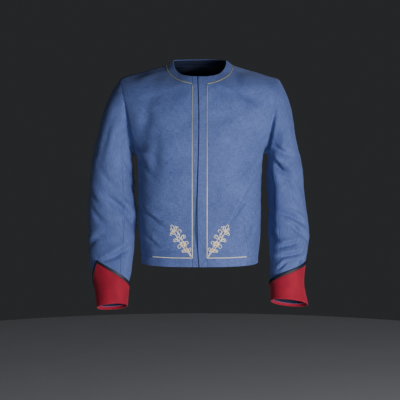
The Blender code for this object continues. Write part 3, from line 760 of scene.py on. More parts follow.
@dataclass
class ClothSkin:
    """Outer face of the cloth: welded grids, pressed, cut and thickened."""

    weld: float = 0.00004
    seam_gap: float = 0.0003
    seam_dip: float = 0.00085
    grids: list[ClothGrid] = field(default_factory=list)
    points: Array = field(default_factory=lambda: np.zeros((0, 3)))
    normals: Array = field(default_factory=lambda: np.zeros((0, 3)))
    same: Array = field(default_factory=lambda: np.zeros(0, int))
    faces: Array = field(default_factory=lambda: np.zeros((0, 4), int))
    face_piece: Array = field(default_factory=lambda: np.zeros(0, int))
    names: list[str] = field(default_factory=list)

    def add(self, grid: ClothGrid) -> None:
        """Add a grid to the skin."""
        grid.start = sum(g.push.size for g in self.grids)
        self.grids.append(grid)
        if grid.piece not in self.names:
            self.names.append(grid.piece)

    def close(self) -> None:
        """Weld the grids, press the creases and seams in, and keep points and normals."""
        points = np.concatenate([g.points.reshape(-1, 3) for g in self.grids])
        push = np.concatenate([g.push.ravel() for g in self.grids])
        rims = np.concatenate([g.rim() for g in self.grids])
        tree = KDTree(len(rims))
        for index in rims:
            tree.insert(points[index], int(index))
        tree.balance()
        self.same = np.arange(len(points))
        for index in rims:
            self.same[index] = min(found[1] for found in tree.find_range(points[index], self.weld))
        self.faces = self.same[np.concatenate([g.quads() for g in self.grids])]
        counts = [len(g.quads()) for g in self.grids]
        pieces = [self.names.index(g.piece) for g in self.grids]
        self.face_piece = np.repeat(pieces, counts)
        total = np.zeros(len(points))
        uses = np.zeros(len(points))
        np.add.at(total, self.same, push)
        np.add.at(uses, self.same, 1.0)
        push = (total / np.maximum(uses, 1.0))[self.same]
        push[self.seam_points()] -= self.seam_dip
        points = points[self.same]
        normals = self.normals_of(points)
        self.points = points + normals * push[:, None]
        self.normals = self.normals_of(self.points)

    def normals_of(self, points: Array) -> Array:
        """Point normals of the welded skin."""
        corners = points[self.faces]
        flat = np.cross(corners[:, 2] - corners[:, 0], corners[:, 3] - corners[:, 1])
        total = np.zeros_like(points)
        for corner in range(4):
            np.add.at(total, self.faces[:, corner], flat)
        return unit(total)[self.same]

    def edges_of(self, faces: Array) -> tuple[Array, Array, Array]:
        """Edges of some faces.

        Args:
            faces: the faces, as corner numbers.

        Returns:
            Directed edges, the row of each edge's face, and how often each edge is used.
        """
        edges = np.concatenate([faces[:, [i, (i + 1) % 4]] for i in range(4)])
        owner = np.tile(np.arange(len(faces)), 4)
        key = np.sort(edges, axis=1)
        _, inverse, uses = np.unique(key, axis=0, return_inverse=True, return_counts=True)
        return edges, owner, uses[inverse.ravel()]

    def seam_points(self) -> Array:
        """Numbers of all grid points that lie on a seam between two pieces."""
        lowest = np.full(len(self.same), len(self.names))
        highest = np.full(len(self.same), -1)
        for corner in range(4):
            np.minimum.at(lowest, self.faces[:, corner], self.face_piece)
            np.maximum.at(highest, self.faces[:, corner], self.face_piece)
        return np.flatnonzero((highest > lowest)[self.same])

    def open_edges(self) -> set[tuple[int, int]]:
        """Edges of the skin with cloth on one side only, lowest number first."""
        edges, _, uses = self.edges_of(self.faces)
        return {(min(a, b), max(a, b)) for a, b in edges[uses == 1].tolist()}

    def wall(
        self, name: str, thickness: float, lip: float = 0.0006, two_faced: bool = False
    ) -> bpy.types.Mesh:
        """Mesh of one piece: outer face, inner face and rolled edges.

        Args:
            name: the piece.
            thickness: thickness of the cloth.
            lip: how far an open edge rounds out between its two faces.
            two_faced: whether the inner face takes a second material.

        Returns:
            The mesh, with the cloth's grain as the attribute "cloth", in millimetres.
        """
        faces = self.faces[self.face_piece == self.names.index(name)]
        used, local = np.unique(faces, return_inverse=True)
        local = local.reshape(faces.shape)
        count = len(used)
        edges, owner, uses = self.edges_of(faces)
        cut = uses == 1
        rim = edges[cut]
        middle = self.points[faces[owner[cut]]].mean(axis=1)
        run = unit(self.points[rim[:, 1]] - self.points[rim[:, 0]])
        way = middle - self.points[rim[:, 0]]
        way = unit(way - run * (way * run).sum(axis=1, keepdims=True))
        shift = np.zeros_like(self.points)
        for corner in range(2):
            np.add.at(shift, rim[:, corner], way)
        outer = self.points + unit(shift) * (np.linalg.norm(shift, axis=1, keepdims=True) > 0) * (
            self.seam_gap / 2
        )
        inner = outer - self.normals * thickness
        place = np.full(len(self.points), -1)
        place[used] = np.arange(count)
        free = self.open_edges()
        rolled = np.array([(min(a, b), max(a, b)) in free for a, b in rim.tolist()], bool)
        rolled_points = np.unique(rim[rolled]) if rolled.any() else np.zeros(0, int)
        fold = np.full(len(self.points), -1)
        fold[rolled_points] = 2 * count + np.arange(len(rolled_points))
        fold_points = (outer[rolled_points] + inner[rolled_points]) / 2
        fold_points = fold_points - unit(shift[rolled_points]) * lip
        sides = []
        for (a, b), soft in zip(rim.tolist(), rolled.tolist()):
            la, lb = int(place[a]), int(place[b])
            if soft:
                fa, fb = int(fold[a]), int(fold[b])
                sides.append((lb, la, fa, fb))
                sides.append((fb, fa, la + count, lb + count))
            else:
                sides.append((lb, la, la + count, lb + count))
        every = np.concatenate([local, local[:, ::-1] + count]).tolist() + sides
        mesh = bpy.data.meshes.new(name)
        mesh.from_pydata(
            np.concatenate([outer[used], inner[used], fold_points]).tolist(), [], every
        )
        if two_faced:
            inside = np.zeros(len(every), int)
            inside[len(local) : 2 * len(local)] = 1
            mesh.polygons.foreach_set("material_index", inside)
        grain = self.grain_of(name)
        values = np.concatenate([grain[used], grain[used], grain[rolled_points]])
        set_cloth_attribute(mesh, values)
        return mesh

    def grain_of(self, name: str) -> Array:
        """Cloth coordinates of a piece's points, in metres, at their welded numbers."""
        grain = np.zeros((len(self.points), 2))
        for grid in self.grids:
            if grid.piece == name:
                index = grid.start + np.arange(grid.push.size)
                grain[self.same[index]] = grid.grain.reshape(-1, 2)
        return grain


def set_cloth_attribute(mesh: bpy.types.Mesh, grain: Array) -> None:
    """Store cloth coordinates on a mesh, in millimetres, for its weave."""
    layer = mesh.attributes.new("cloth", "FLOAT_VECTOR", "POINT")
    values = np.zeros((len(grain), 3))
    values[:, :2] = grain / MM
    layer.data.foreach_set("vector", values.ravel())


def grain_from(points: Array, flip: float) -> Array:
    """Cloth coordinates of a grid: distance along the rows, and along the columns."""
    across = run_lengths(points, 1) * flip
    along = run_lengths(points, 0)
    return np.stack([across, along], axis=-1)


def press_body(points: Array, creases: tuple[Crease, ...]) -> Array:
    """Push of a body panel's points by its creases, negative inwards."""
    total = np.zeros(points.shape[:2])
    for crease in creases:
        total -= crease.press(points[..., 0] - crease.across, points[..., 2] - crease.height)
    return total


@dataclass(frozen=True)
class ArmholeValley:
    """Hollow along the front of the armhole seam, where the sleeve tucks in beside the chest."""

    depth: float = 0.017
    middle: float = 0.0045
    spread: float = 0.0058
    first_turn: float = 62.0
    full_turn: float = 122.0
    last_turn: float = 180.0

    def push(self, turn: Array, distance: Array) -> Array:
        """Push of the cloth's points, negative inwards.

        Args:
            turn: turn of each point round the armhole, in degrees.
            distance: distance from the seam, negative on the body.

        Returns:
            Push at each point.
        """
        turn = np.asarray(turn) % 360.0
        share = smoothstep((turn - self.first_turn) / (self.full_turn - self.first_turn))
        share = share * smoothstep((self.last_turn - turn) / 22.0)
        return -self.depth * share * np.exp(-(((distance - self.middle) / self.spread) ** 2))


def press_sleeve(points: Array, turn: Array, creases: tuple[Crease, ...], girth: float) -> Array:
    """Push of a sleeve's points by its creases.

    Args:
        points: grid of points.
        turn: turn of each point in degrees.
        creases: the sleeve's creases.
        girth: radius that turns degrees into a distance round the arm.

    Returns:
        Push at each point, negative inwards.
    """
    total = np.zeros(points.shape[:2])
    for crease in creases:
        swing = np.radians((turn - crease.across + 180.0) % 360.0 - 180.0)
        total -= crease.press(swing * girth, points[..., 2] - crease.height)
    return total


# Finishes


def linear(code: str) -> tuple[float, float, float, float]:
    """Linear colour of an sRGB hex code such as "#5C719C"."""
    parts = [int(code[i : i + 2], 16) / 255 for i in (1, 3, 5)]
    r, g, b = (p / 12.92 if p <= 0.04045 else ((p + 0.055) / 1.055) ** 2.4 for p in parts)
    return (r, g, b, 1.0)


def add_node(
    tree: bpy.types.NodeTree, kind: str, settings: dict | None = None, **links: object
) -> bpy.types.Node:
    """Add a node with its settings and links.

    Args:
        tree: the node tree.
        kind: Blender's name of the node type.
        settings: values for the node's properties.
        links: input name or i0, i1... for a numbered input, to an output socket or a value.

    Returns:
        The node.
    """
    node = tree.nodes.new(kind)
    for name, value in (settings or {}).items():
        setattr(node, name, value)
    for name, value in links.items():
        numbered = name[0] == "i" and name[1:].isdigit()
        socket = node.inputs[int(name[1:]) if numbered else name.replace("_", " ")]
        if isinstance(value, bpy.types.NodeSocket):
            tree.links.new(value, socket)
        else:
            socket.default_value = value
    return node


def new_material(name: str) -> tuple[bpy.types.Material, bpy.types.NodeTree, bpy.types.Node]:
    """An empty Principled material: material, its tree and its shader."""
    material = bpy.data.materials.new(name)
    material.use_nodes = True
    return material, material.node_tree, material.node_tree.nodes["Principled BSDF"]


@dataclass(frozen=True)
class WoolTwill:
    """Worsted wool woven in twill, clear finished: fine slanting ribs and a soft bloom.

    The real ribs are about 0.6 mm apart, under a quarter of a pixel here, so they are
    drawn coarser. Thicker stretches of yarn, the slubs, run along both threads. The eye
    sees a fine broken grain, and a pale bloom where the cloth turns away.
    """

    name: str
    light: str
    dark: str
    rib_mm: float = 2.3
    rib_angle: float = 52.0
    thread_mm: float = 1.5
    slub_mm: float = 2.7
    slub: float = 4.5
    cloud_mm: float = 70.0
    relief: float = 0.42
    roughness: float = 0.74
    sheen: float = 0.30
    sheen_tint: str = "#AFC0E6"

    def build(self) -> bpy.types.Material:
        """Make the material."""
        material, tree, shader = new_material(self.name)
        cloth = add_node(tree, "ShaderNodeAttribute", {"attribute_name": "cloth"})
        angle = math.radians(self.rib_angle)
        turns = 2 * math.pi / self.rib_mm
        ways = (
            (math.cos(angle) * turns, math.sin(angle) * turns, 0.0),
            (2 * math.pi / self.thread_mm, 0.0, 0.0),
            (0.0, 2 * math.pi / self.thread_mm, 0.0),
        )
        waves = []
        for way in ways:
            dot = add_node(
                tree,
                "ShaderNodeVectorMath",
                {"operation": "DOT_PRODUCT"},
                i0=cloth.outputs["Vector"],
                i1=way,
            )
            sine = add_node(
                tree, "ShaderNodeMath", {"operation": "SINE"}, i0=dot.outputs["Value"]
            )
            waves.append(sine.outputs["Value"])
        crossing = add_node(
            tree, "ShaderNodeMath", {"operation": "MULTIPLY"}, i0=waves[1], i1=waves[2]
        )
        weave = add_node(
            tree,
            "ShaderNodeMath",
            {"operation": "MULTIPLY_ADD"},
            i0=crossing.outputs["Value"],
            i1=0.6,
            i2=waves[0],
        )
        slubs = []
        for stretch in ((1.0, 1.0 / self.slub, 1.0), (1.0 / self.slub, 1.0, 1.0)):
            laid = add_node(
                tree, "ShaderNodeMapping", Vector=cloth.outputs["Vector"], Scale=stretch
            )
            noise = add_node(
                tree,
                "ShaderNodeTexNoise",
                Vector=laid.outputs["Vector"],
                Scale=1.0 / self.slub_mm,
                Detail=3.0,
                Roughness=0.65,
            )
            slubs.append(noise.outputs["Fac"])
        mottle = add_node(
            tree, "ShaderNodeMath", {"operation": "ADD"}, i0=slubs[0], i1=slubs[1]
        )
        place = add_node(tree, "ShaderNodeTexCoord")
        cloud = add_node(
            tree,
            "ShaderNodeTexNoise",
            Vector=place.outputs["Object"],
            Scale=1.0 / (self.cloud_mm * MM),
            Detail=2.0,
        )
        grain = add_node(
            tree,
            "ShaderNodeMath",
            {"operation": "MULTIPLY_ADD"},
            i0=weave.outputs["Value"],
            i1=0.16,
            i2=mottle.outputs["Value"],
        )
        tone = add_node(
            tree,
            "ShaderNodeMath",
            {"operation": "MULTIPLY_ADD"},
            i0=cloud.outputs["Fac"],
            i1=0.55,
            i2=grain.outputs["Value"],
        )
        spread = add_node(
            tree,
            "ShaderNodeMapRange",
            Value=tone.outputs["Value"],
            From_Min=0.92,
            From_Max=1.64,
        )
        colour = add_node(
            tree,
            "ShaderNodeMix",
            {"data_type": "RGBA"},
            i0=spread.outputs["Result"],
            i6=linear(self.dark),
            i7=linear(self.light),
        )
        height = add_node(
            tree,
            "ShaderNodeMath",
            {"operation": "MULTIPLY_ADD"},
            i0=mottle.outputs["Value"],
            i1=1.3,
            i2=weave.outputs["Value"],
        )
        bump = add_node(
            tree,
            "ShaderNodeBump",
            Strength=self.relief,
            Distance=0.25 * MM,
            Height=height.outputs["Value"],
        )
        tree.links.new(colour.outputs[2], shader.inputs["Base Color"])
        tree.links.new(bump.outputs["Normal"], shader.inputs["Normal"])
        shader.inputs["Roughness"].default_value = self.roughness
        shader.inputs["Sheen Weight"].default_value = self.sheen
        shader.inputs["Sheen Roughness"].default_value = 0.45
        shader.inputs["Sheen Tint"].default_value = linear(self.sheen_tint)
        shader.inputs["Specular IOR Level"].default_value = 0.28
        return material


@dataclass(frozen=True)
class FacedCloth:
    """Milled and raised wool facecloth: the weave is hidden by a short laid nap."""

    name: str
    light: str
    dark: str
    nap_mm: float = 1.4
    streak: float = 3.5
    relief: float = 0.25

    def build(self) -> bpy.types.Material:
        """Make the material."""
        material, tree, shader = new_material(self.name)
        cloth = add_node(tree, "ShaderNodeAttribute", {"attribute_name": "cloth"})
        laid = add_node(
            tree,
            "ShaderNodeMapping",
            Vector=cloth.outputs["Vector"],
            Scale=(1.0, 1.0 / self.streak, 1.0),
        )
        nap = add_node(
            tree,
            "ShaderNodeTexNoise",
            Vector=laid.outputs["Vector"],
            Scale=1.0 / self.nap_mm,
            Detail=4.0,
            Roughness=0.7,
        )
        place = add_node(tree, "ShaderNodeTexCoord")
        cloud = add_node(
            tree, "ShaderNodeTexNoise", Vector=place.outputs["Object"], Scale=28.0, Detail=2.0
        )
        tone = add_node(
            tree,
            "ShaderNodeMath",
            {"operation": "ADD"},
            i0=nap.outputs["Fac"],
            i1=cloud.outputs["Fac"],
        )
        spread = add_node(
            tree, "ShaderNodeMapRange", Value=tone.outputs["Value"], From_Min=0.65, From_Max=1.35
        )
        colour = add_node(
            tree,
            "ShaderNodeMix",
            {"data_type": "RGBA"},
            i0=spread.outputs["Result"],
            i6=linear(self.dark),
            i7=linear(self.light),
        )
        bump = add_node(
            tree,
            "ShaderNodeBump",
            Strength=self.relief,
            Distance=0.25 * MM,
            Height=nap.outputs["Fac"],
        )
        tree.links.new(colour.outputs[2], shader.inputs["Base Color"])
        tree.links.new(bump.outputs["Normal"], shader.inputs["Normal"])
        shader.inputs["Roughness"].default_value = 0.82
        shader.inputs["Sheen Weight"].default_value = 0.35
        shader.inputs["Sheen Roughness"].default_value = 0.5
        shader.inputs["Sheen Tint"].default_value = linear("#E87C86")
        shader.inputs["Specular IOR Level"].default_value = 0.22
        return material


@dataclass(frozen=True)
class PlaitedThread:
    """Spun or wrapped thread, laid as cord, braid or couching: it glints strand by strand.

    A gilt thread is foil on a core. It reads almost white under these lights, so its glint is
    painted: it is drawn as a pale thread with no metal in it, and darker towards the neck in
    painted shade.
    A mohair thread is dark, with a faint gloss.
    """

    name: str
    light: str
    dark: str
    metallic: float
    roughness: float
    strand_mm: float = 0.8
    tarnish_mm: float = 26.0
    relief: float = 0.5
    painted_shade: str = ""
    bright_z: float = -0.36
    painted_shade_z: float = -0.16

    def build(self) -> bpy.types.Material:
        """Make the material."""
        material, tree, shader = new_material(self.name)
        place = add_node(tree, "ShaderNodeTexCoord")
        strand = add_node(
            tree,
            "ShaderNodeTexNoise",
            Vector=place.outputs["Object"],
            Scale=1.0 / (self.strand_mm * MM),
            Detail=2.0,
        )
        tarnish = add_node(
            tree,
            "ShaderNodeTexNoise",
            Vector=place.outputs["Object"],
            Scale=1.0 / (self.tarnish_mm * MM),
            Detail=3.0,
        )
        tone = add_node(
            tree,
            "ShaderNodeMath",
            {"operation": "ADD"},
            i0=strand.outputs["Fac"],
            i1=tarnish.outputs["Fac"],
        )
        spread = add_node(
            tree, "ShaderNodeMapRange", Value=tone.outputs["Value"], From_Min=0.7, From_Max=1.25
        )
        colour = add_node(
            tree,
            "ShaderNodeMix",
            {"data_type": "RGBA"},
            i0=spread.outputs["Result"],
            i6=linear(self.dark),
            i7=linear(self.light),
        )
        # Painted shade: the thread darkens towards the neck, where less light falls on it.
        if self.painted_shade:
            spot = add_node(tree, "ShaderNodeSeparateXYZ", Vector=place.outputs["Object"])
            share = add_node(
                tree,
                "ShaderNodeMapRange",
                Value=spot.outputs["Z"],
                From_Min=self.bright_z,
                From_Max=self.painted_shade_z,
            )
            colour = add_node(
                tree,
                "ShaderNodeMix",
                {"data_type": "RGBA"},
                i0=share.outputs["Result"],
                i6=colour.outputs[2],
                i7=linear(self.painted_shade),
            )
        bump = add_node(
            tree,
            "ShaderNodeBump",
            Strength=self.relief,
            Distance=0.15 * MM,
            Height=strand.outputs["Fac"],
        )
        tree.links.new(colour.outputs[2], shader.inputs["Base Color"])
        tree.links.new(bump.outputs["Normal"], shader.inputs["Normal"])
        shader.inputs["Roughness"].default_value = self.roughness
        shader.inputs["Metallic"].default_value = self.metallic
        return material


BLUE_WORSTED = WoolTwill("blue_worsted_twill", light="#6478AE", dark="#404F80")
NAVY_WORSTED = WoolTwill(
    "navy_worsted_twill", light="#3A4E74", dark="#2A3B5C", sheen=0.1, sheen_tint="#5A6A92"
)
# Painted shade: a dark line that stands in for the shadow in the sunk darts and mitres.
SEAM_SHADE = WoolTwill(
    "seam_thread_dark_blue", light="#2C3A5E", dark="#1F2A48", sheen=0.0, relief=0.1
)
# The inner face of the blue cloth, in a near-black painted shade: the eye sees only a dark hollow at
# neck and cuffs.
INNER_FACE_SHADE = WoolTwill(
    "navy_inner_face", light="#1A2236", dark="#10172A", sheen=0.0, relief=0.15
)
RED_FACECLOTH = FacedCloth("red_wool_facecloth", light="#A81F35", dark="#871427")
BLACK_MOHAIR = PlaitedThread(
    "black_mohair_braid", light="#20242E", dark="#0C0E14", metallic=0.0, roughness=0.55
)
# Painted highlight and shade: the pale colours stand in for the gilt's glint, and the darker colour
# towards the neck stands in for shade.
GILT_CORD = PlaitedThread(
    "gilt_wrapped_cord",
    light="#FFFBE6",
    dark="#E0D6A8",
    metallic=0.0,
    roughness=0.36,
    painted_shade="#A8A67C",
)
# Painted highlight: the pale colours stand in for the glint of the gilt thread.
GILT_THREAD = PlaitedThread(
    "gilt_couched_thread", light="#FFFBEA", dark="#F0E2B4", metallic=0.0, roughness=0.36
)
ORANGE_SILK = PlaitedThread(
    "orange_silk_thread", light="#E8A050", dark="#CC7A30", metallic=0.0, roughness=0.45
)


# Pieces


def add_piece(
    name: str,
    mesh: bpy.types.Mesh,
    material: bpy.types.Material,
    stands_for: tuple[str, ...] = (),
    inside: bpy.types.Material | None = None,
) -> bpy.types.Object:
    """Put a mesh into the scene as a piece that rides on the body.

    Args:
        name: the piece's name.
        mesh: its mesh.
        material: its finish.
        stands_for: the solids that it replaces.
        inside: the finish of its inner face, where that differs; for the cloth this is painted shade.

    Returns:
        The new object.
    """
    mesh.name = name
    mesh.materials.append(material)
    if inside is not None:
        mesh.materials.append(inside)
    mesh.shade_smooth()
    mesh.set_sharp_from_angle(angle=math.radians(55.0))
    piece = bpy.data.objects.new(name, mesh)
    bpy.context.scene.collection.objects.link(piece)
    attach(piece, ROOT)
    if stands_for:
        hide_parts(*stands_for)
    LOG.info("%s: %d faces", name, len(mesh.polygons))
    return piece


@dataclass(frozen=True)
class Cut:
    """Flat size of a piece of cloth as cut: width, length and area, in metres."""

    width: float
    length: float
    area: float


@dataclass
class ClothBody:
    """Fronts, bands, back, neckband and sleeves: one skin, cut into its pieces."""

    form: JacketForm
    sleeves: tuple[SleeveForm, ...]
    cloth: float = 0.0019
    rows_low: int = 12
    rows_high: int = 5
    columns: int = 76
    band_columns: int = 8
    neck_rows: int = 8
    sleeve_rows_cap: int = 36
    sleeve_rows: int = 250
    sleeve_end: float = 7.85
    girth: float = 0.055
    near: float = 0.0013
    row_height: float = 0.030
    front_seam_row: float = 13.0
    back_seam_row: float = 17.0
    armhole_calm: float = 0.10
    hem_calm_rows: float = 1.5
    hem_share: float = 0.35
    cap_calm: float = 0.35
    cuff_calm: float = 0.35
    cuff_sink: float = 0.0004
    skin: ClothSkin = field(default_factory=ClothSkin)
    handle: Handle = Handle()
    valley: ArmholeValley = ArmholeValley()

    def row_numbers(self, facing: Facing) -> Array:
        """Row numbers of the panels: close rows below the armpit and round the armhole."""
        form = self.form
        near = self.near / self.row_height
        seam = self.front_seam_row if facing is Facing.FRONT else self.back_seam_row
        low = finer(-1, 0, 7, (-1.0, 0.0), self.near / form.hem_band_height)
        middle = finer(0, form.body_rows, form.body_rows * self.rows_low, (0.0,), near)
        top = form.top_row
        steps = form.armhole_rows * self.rows_high
        high = finer(form.body_rows, top, steps, (seam, float(top)), near * 1.5)
        return np.unique(np.round(np.concatenate([low, middle, high]), 9))

    def add_grid(self, piece: str, points: Array, push: Array, outward: float) -> None:
        """Add one grid to the skin, with the cloth's own unevenness on top of its push."""
        push = push + self.handle.at(points)
        grain = grain_from(points, outward)
        self.skin.add(ClothGrid(piece, points, push, grain, outward))

    def add_half(self, sleeve: SleeveForm) -> None:
        """Add the front, half back, bands and sleeve of one half."""
        half = sleeve.half
        side = half.name.lower()
        u = finer(0, 1, self.columns, (0.0, 1.0), 0.0065)
        for facing in Facing:
            front = facing is Facing.FRONT
            v = self.row_numbers(facing)
            points = self.form.panel(half, sleeve.tip, facing, v, u)
            push = press_body(points, FRONT_CREASES if front else BACK_CREASES)
            rim = smoothstep((1 - u) / self.armhole_calm)[None, :] * np.ones_like(push)
            push = push * np.where((v > self.form.body_rows)[:, None], rim, 1.0)
            hem = smoothstep((v + 1.0) / self.hem_calm_rows)[:, None]
            push = push * (self.hem_share + (1 - self.hem_share) * hem)
            share = np.clip((v - self.form.body_rows) / self.form.armhole_rows, 0, 1)
            turn = 180.0 - facing.value * 180.0 * share
            walked = run_lengths(points, 1)
            valley = self.valley.push(turn[:, None], walked - walked[:, -1:])
            push = push + valley * (v >= self.form.body_rows)[:, None]
            outward = half.value * facing.value
            split = int(np.searchsorted(v, -1e-6))
            low, high = slice(0, split + 1), slice(split, None)
            names = (
                (f"hem_band_{side}", f"front_panel_{side}")
                if front
                else ("hem_band_back", "back_panel")
            )
            self.add_grid(names[0], points[low], push[low], outward)
            self.add_grid(names[1], points[high], push[high], outward)
            if front:
                self.add_band(half, points, push, v)
            self.add_neck_quarter(half, facing, v)
        self.add_sleeve(sleeve)

    def add_band(self, half: Half, points: Array, push: Array, v: Array) -> None:
        """Add the front band beside a front panel, up to the neck edge."""
        form = self.form
        top = int(np.searchsorted(v, form.front_neck_row - 1e-6)) + 1
        across = self.neck_places()
        corner = points[top - 1, 0]
        rise = corner + (form.neck_corner(half) - corner) * across[1:, None]
        seam = np.concatenate([points[:top, 0], rise])
        places = finer(0, 1, self.band_columns, (0.0, 1.0), 0.07)
        band = form.front_band(half, seam, places)
        edge_push = np.concatenate([push[:top, 0], np.zeros(len(rise))])
        fade = places[None, :] ** 0.5
        self.add_grid(
            f"front_band_{half.name.lower()}", band, edge_push[:, None] * fade, half.value
        )

    def neck_places(self) -> Array:
        """Places across the neckband, from its seam to its edge."""
        return finer(0, 1, self.neck_rows, (0.0, 1.0), 0.06)

    def add_neck_quarter(self, half: Half, facing: Facing, v: Array) -> None:
        """Add a quarter of the neckband, column by column on the panel's own rows."""
        form = self.form
        front = facing is Facing.FRONT
        first = form.front_neck_row if front else form.back_neck_row
        rows = v[v > first - 1e-6]
        places = (rows - first) / (form.top_row - first)
        across = self.neck_places()
        points = form.neckband(half, facing, places, across)
        push = np.zeros(points.shape[:2])
        self.add_grid("neckband", points, push, half.value * facing.value)

    def add_sleeve(self, sleeve: SleeveForm) -> None:
        """Add the top and under sleeve of one side."""
        form = self.form
        side = sleeve.half.name.lower()
        front_v = self.row_numbers(Facing.FRONT)
        back_v = self.row_numbers(Facing.BACK)
        rows = form.armhole_rows
        front_turns = 180 - 180 * (front_v[front_v >= form.body_rows] - form.body_rows) / rows
        back_turns = 180 * (back_v[back_v >= form.body_rows] - form.body_rows) / rows - 180
        turns = np.unique(np.round(np.concatenate([front_turns, back_turns]), 6))
        cap = finer(-1, 0, self.sleeve_rows_cap, (-1.0,), 0.016)
        arm = finer(0, self.sleeve_end, self.sleeve_rows, (self.sleeve_end,), 0.03)
        places = np.unique(np.round(np.concatenate([cap, arm]), 9))
        creases = RIGHT_CREASES if sleeve.half is Half.RIGHT else LEFT_CREASES
        for piece, first, last in (("top_sleeve", -60.0, 120.0), ("under_sleeve", 120.0, 300.0)):
            round_arm = np.unique(np.round(np.concatenate([turns, turns + 360.0]), 6))
            inside = (round_arm >= first - 1e-4) & (round_arm <= last + 1e-4)
            turn = round_arm[inside][None, :]
            place = places[:, None]
            points = sleeve.point(turn, place)
            push = press_sleeve(points, turn, creases, self.girth)
            push = push * smoothstep((place + 1.0) / self.cap_calm)
            push = push + self.valley.push(turn, run_lengths(points, 0))
            above_cuff = smoothstep((sleeve.cuff_top(turn) - place) / self.cuff_calm)
            push = push * above_cuff - self.cuff_sink * (1 - above_cuff)
            self.add_grid(f"{piece}_{side}", points, push, sleeve.half.value)

    def build(self) -> None:
        """Lay all grids, weld and press them."""
        for sleeve in self.sleeves:
            self.add_half(sleeve)
        self.skin.close()

    def dress(
        self, material: bpy.types.Material, inside: bpy.types.Material
    ) -> dict[str, bpy.types.Object]:
        """Cut the skin into its pieces and put them into the scene.

        Args:
            material: the cloth.
            inside: the finish of its inner face, drawn in a near-black painted shade.

        Returns:
            The pieces by node name.
        """
        pieces = {}
        for name in self.skin.names:
            mesh = self.skin.wall(name, self.cloth, two_faced=True)
            piece = add_piece(f"{name}_cloth", mesh, material, (name,), inside)
            pieces[name] = piece
        return pieces

    def front_tree(self) -> BVHTree:
        """Search tree of the outer face of fronts and bands."""
        names = ("front_panel", "front_band", "hem_band_left", "hem_band_right")
        wanted = [i for i, name in enumerate(self.skin.names) if name.startswith(names)]
        faces = self.skin.faces[np.isin(self.skin.face_piece, wanted)]
        return BVHTree.FromPolygons(self.skin.points.tolist(), faces.tolist())


def lay_on(tree: BVHTree, route: Array, lift: float) -> tuple[Array, Array]:
    """Lay a route drawn in front view onto the cloth.

    Args:
        tree: search tree of the cloth.
        route: X and Z of the points.
        lift: height above the cloth.

    Returns:
        Points on the cloth and the cloth's normals there.
    """
    points = []
    normals = []
    for x, z in route:
        hit, normal, _, _ = tree.ray_cast(Vector((x, -1.0, z)), Vector((0, 1, 0)))
        if hit is None:
            continue
        if normal.y > 0:
            normal = -normal
        points.append(hit + normal * lift)
        normals.append(normal)
    return np.array(points), np.array(normals)


def resample(points: Array, step: float) -> Array:
    """Points at even steps along a smooth curve through the given ones."""
    table = np.asarray(points, float)
    dense = spline(table, np.linspace(0, len(table) - 1, len(table) * 12))
    walked = run_lengths(dense[:, :3], 0)
    count = max(int(walked[-1] / step), 2)
    even = np.linspace(0, walked[-1], count + 1)
    return np.stack([np.interp(even, walked, dense[:, k]) for k in range(table.shape[1])], axis=1)


@dataclass
class TubeBuilder:
    """Collects round threads along lines of points into one mesh."""

    sides: int = 6
    points: list[Array] = field(default_factory=list)
    faces: list[tuple[int, ...]] = field(default_factory=list)
    count: int = 0

    def add(self, line: Array, normals: Array, radius: Array | float, flat: float = 1.0) -> None:
        """Add one thread.

        Args:
            line: its middle line.
            normals: normals of the cloth along it.
            radius: its radius, or one for each point.
            flat: height of its section as a share of its width.
        """
        if len(line) < 3:
            return
        run = unit(np.gradient(line, axis=0))
        across = unit(np.cross(run, normals))
        up = unit(np.cross(across, run))
        radius = np.broadcast_to(radius, len(line))[:, None]
        start = self.count
        angles = np.arange(self.sides) * 2 * math.pi / self.sides
        rings = [
            line + across * radius * math.cos(a) + up * radius * flat * math.sin(a) for a in angles
        ]
        self.points.append(np.stack(rings, axis=1).reshape(-1, 3))
        n = self.sides
        for i in range(len(line) - 1):
            for j in range(n):
                k = (j + 1) % n
                a = start + i * n
                self.faces.append((a + j, a + k, a + n + k, a + n + j))
        last = start + (len(line) - 1) * n
        self.faces.append(tuple(start + j for j in reversed(range(n))))
        self.faces.append(tuple(last + j for j in range(n)))
        self.count += len(line) * n

    def add_twist(
        self, line: Array, normals: Array, radius: float, pitch: float, plies: int = 2
    ) -> None:
        """Add a twisted cord of several plies around a middle line."""
        run = unit(np.gradient(line, axis=0))
        across = unit(np.cross(run, normals))
        up = unit(np.cross(across, run))
        walked = run_lengths(line, 0)
        for ply in range(plies):
            angle = (2 * math.pi * (walked / pitch + ply / plies))[:, None]
            ply_line = line + (across * np.cos(angle) + up * np.sin(angle)) * radius
            self.add(ply_line, normals, radius * 1.12)

    def mesh(self, name: str) -> bpy.types.Mesh:
        """The collected threads as one mesh."""
        mesh = bpy.data.meshes.new(name)
        mesh.from_pydata(np.concatenate(self.points).tolist(), [], self.faces)
        return mesh


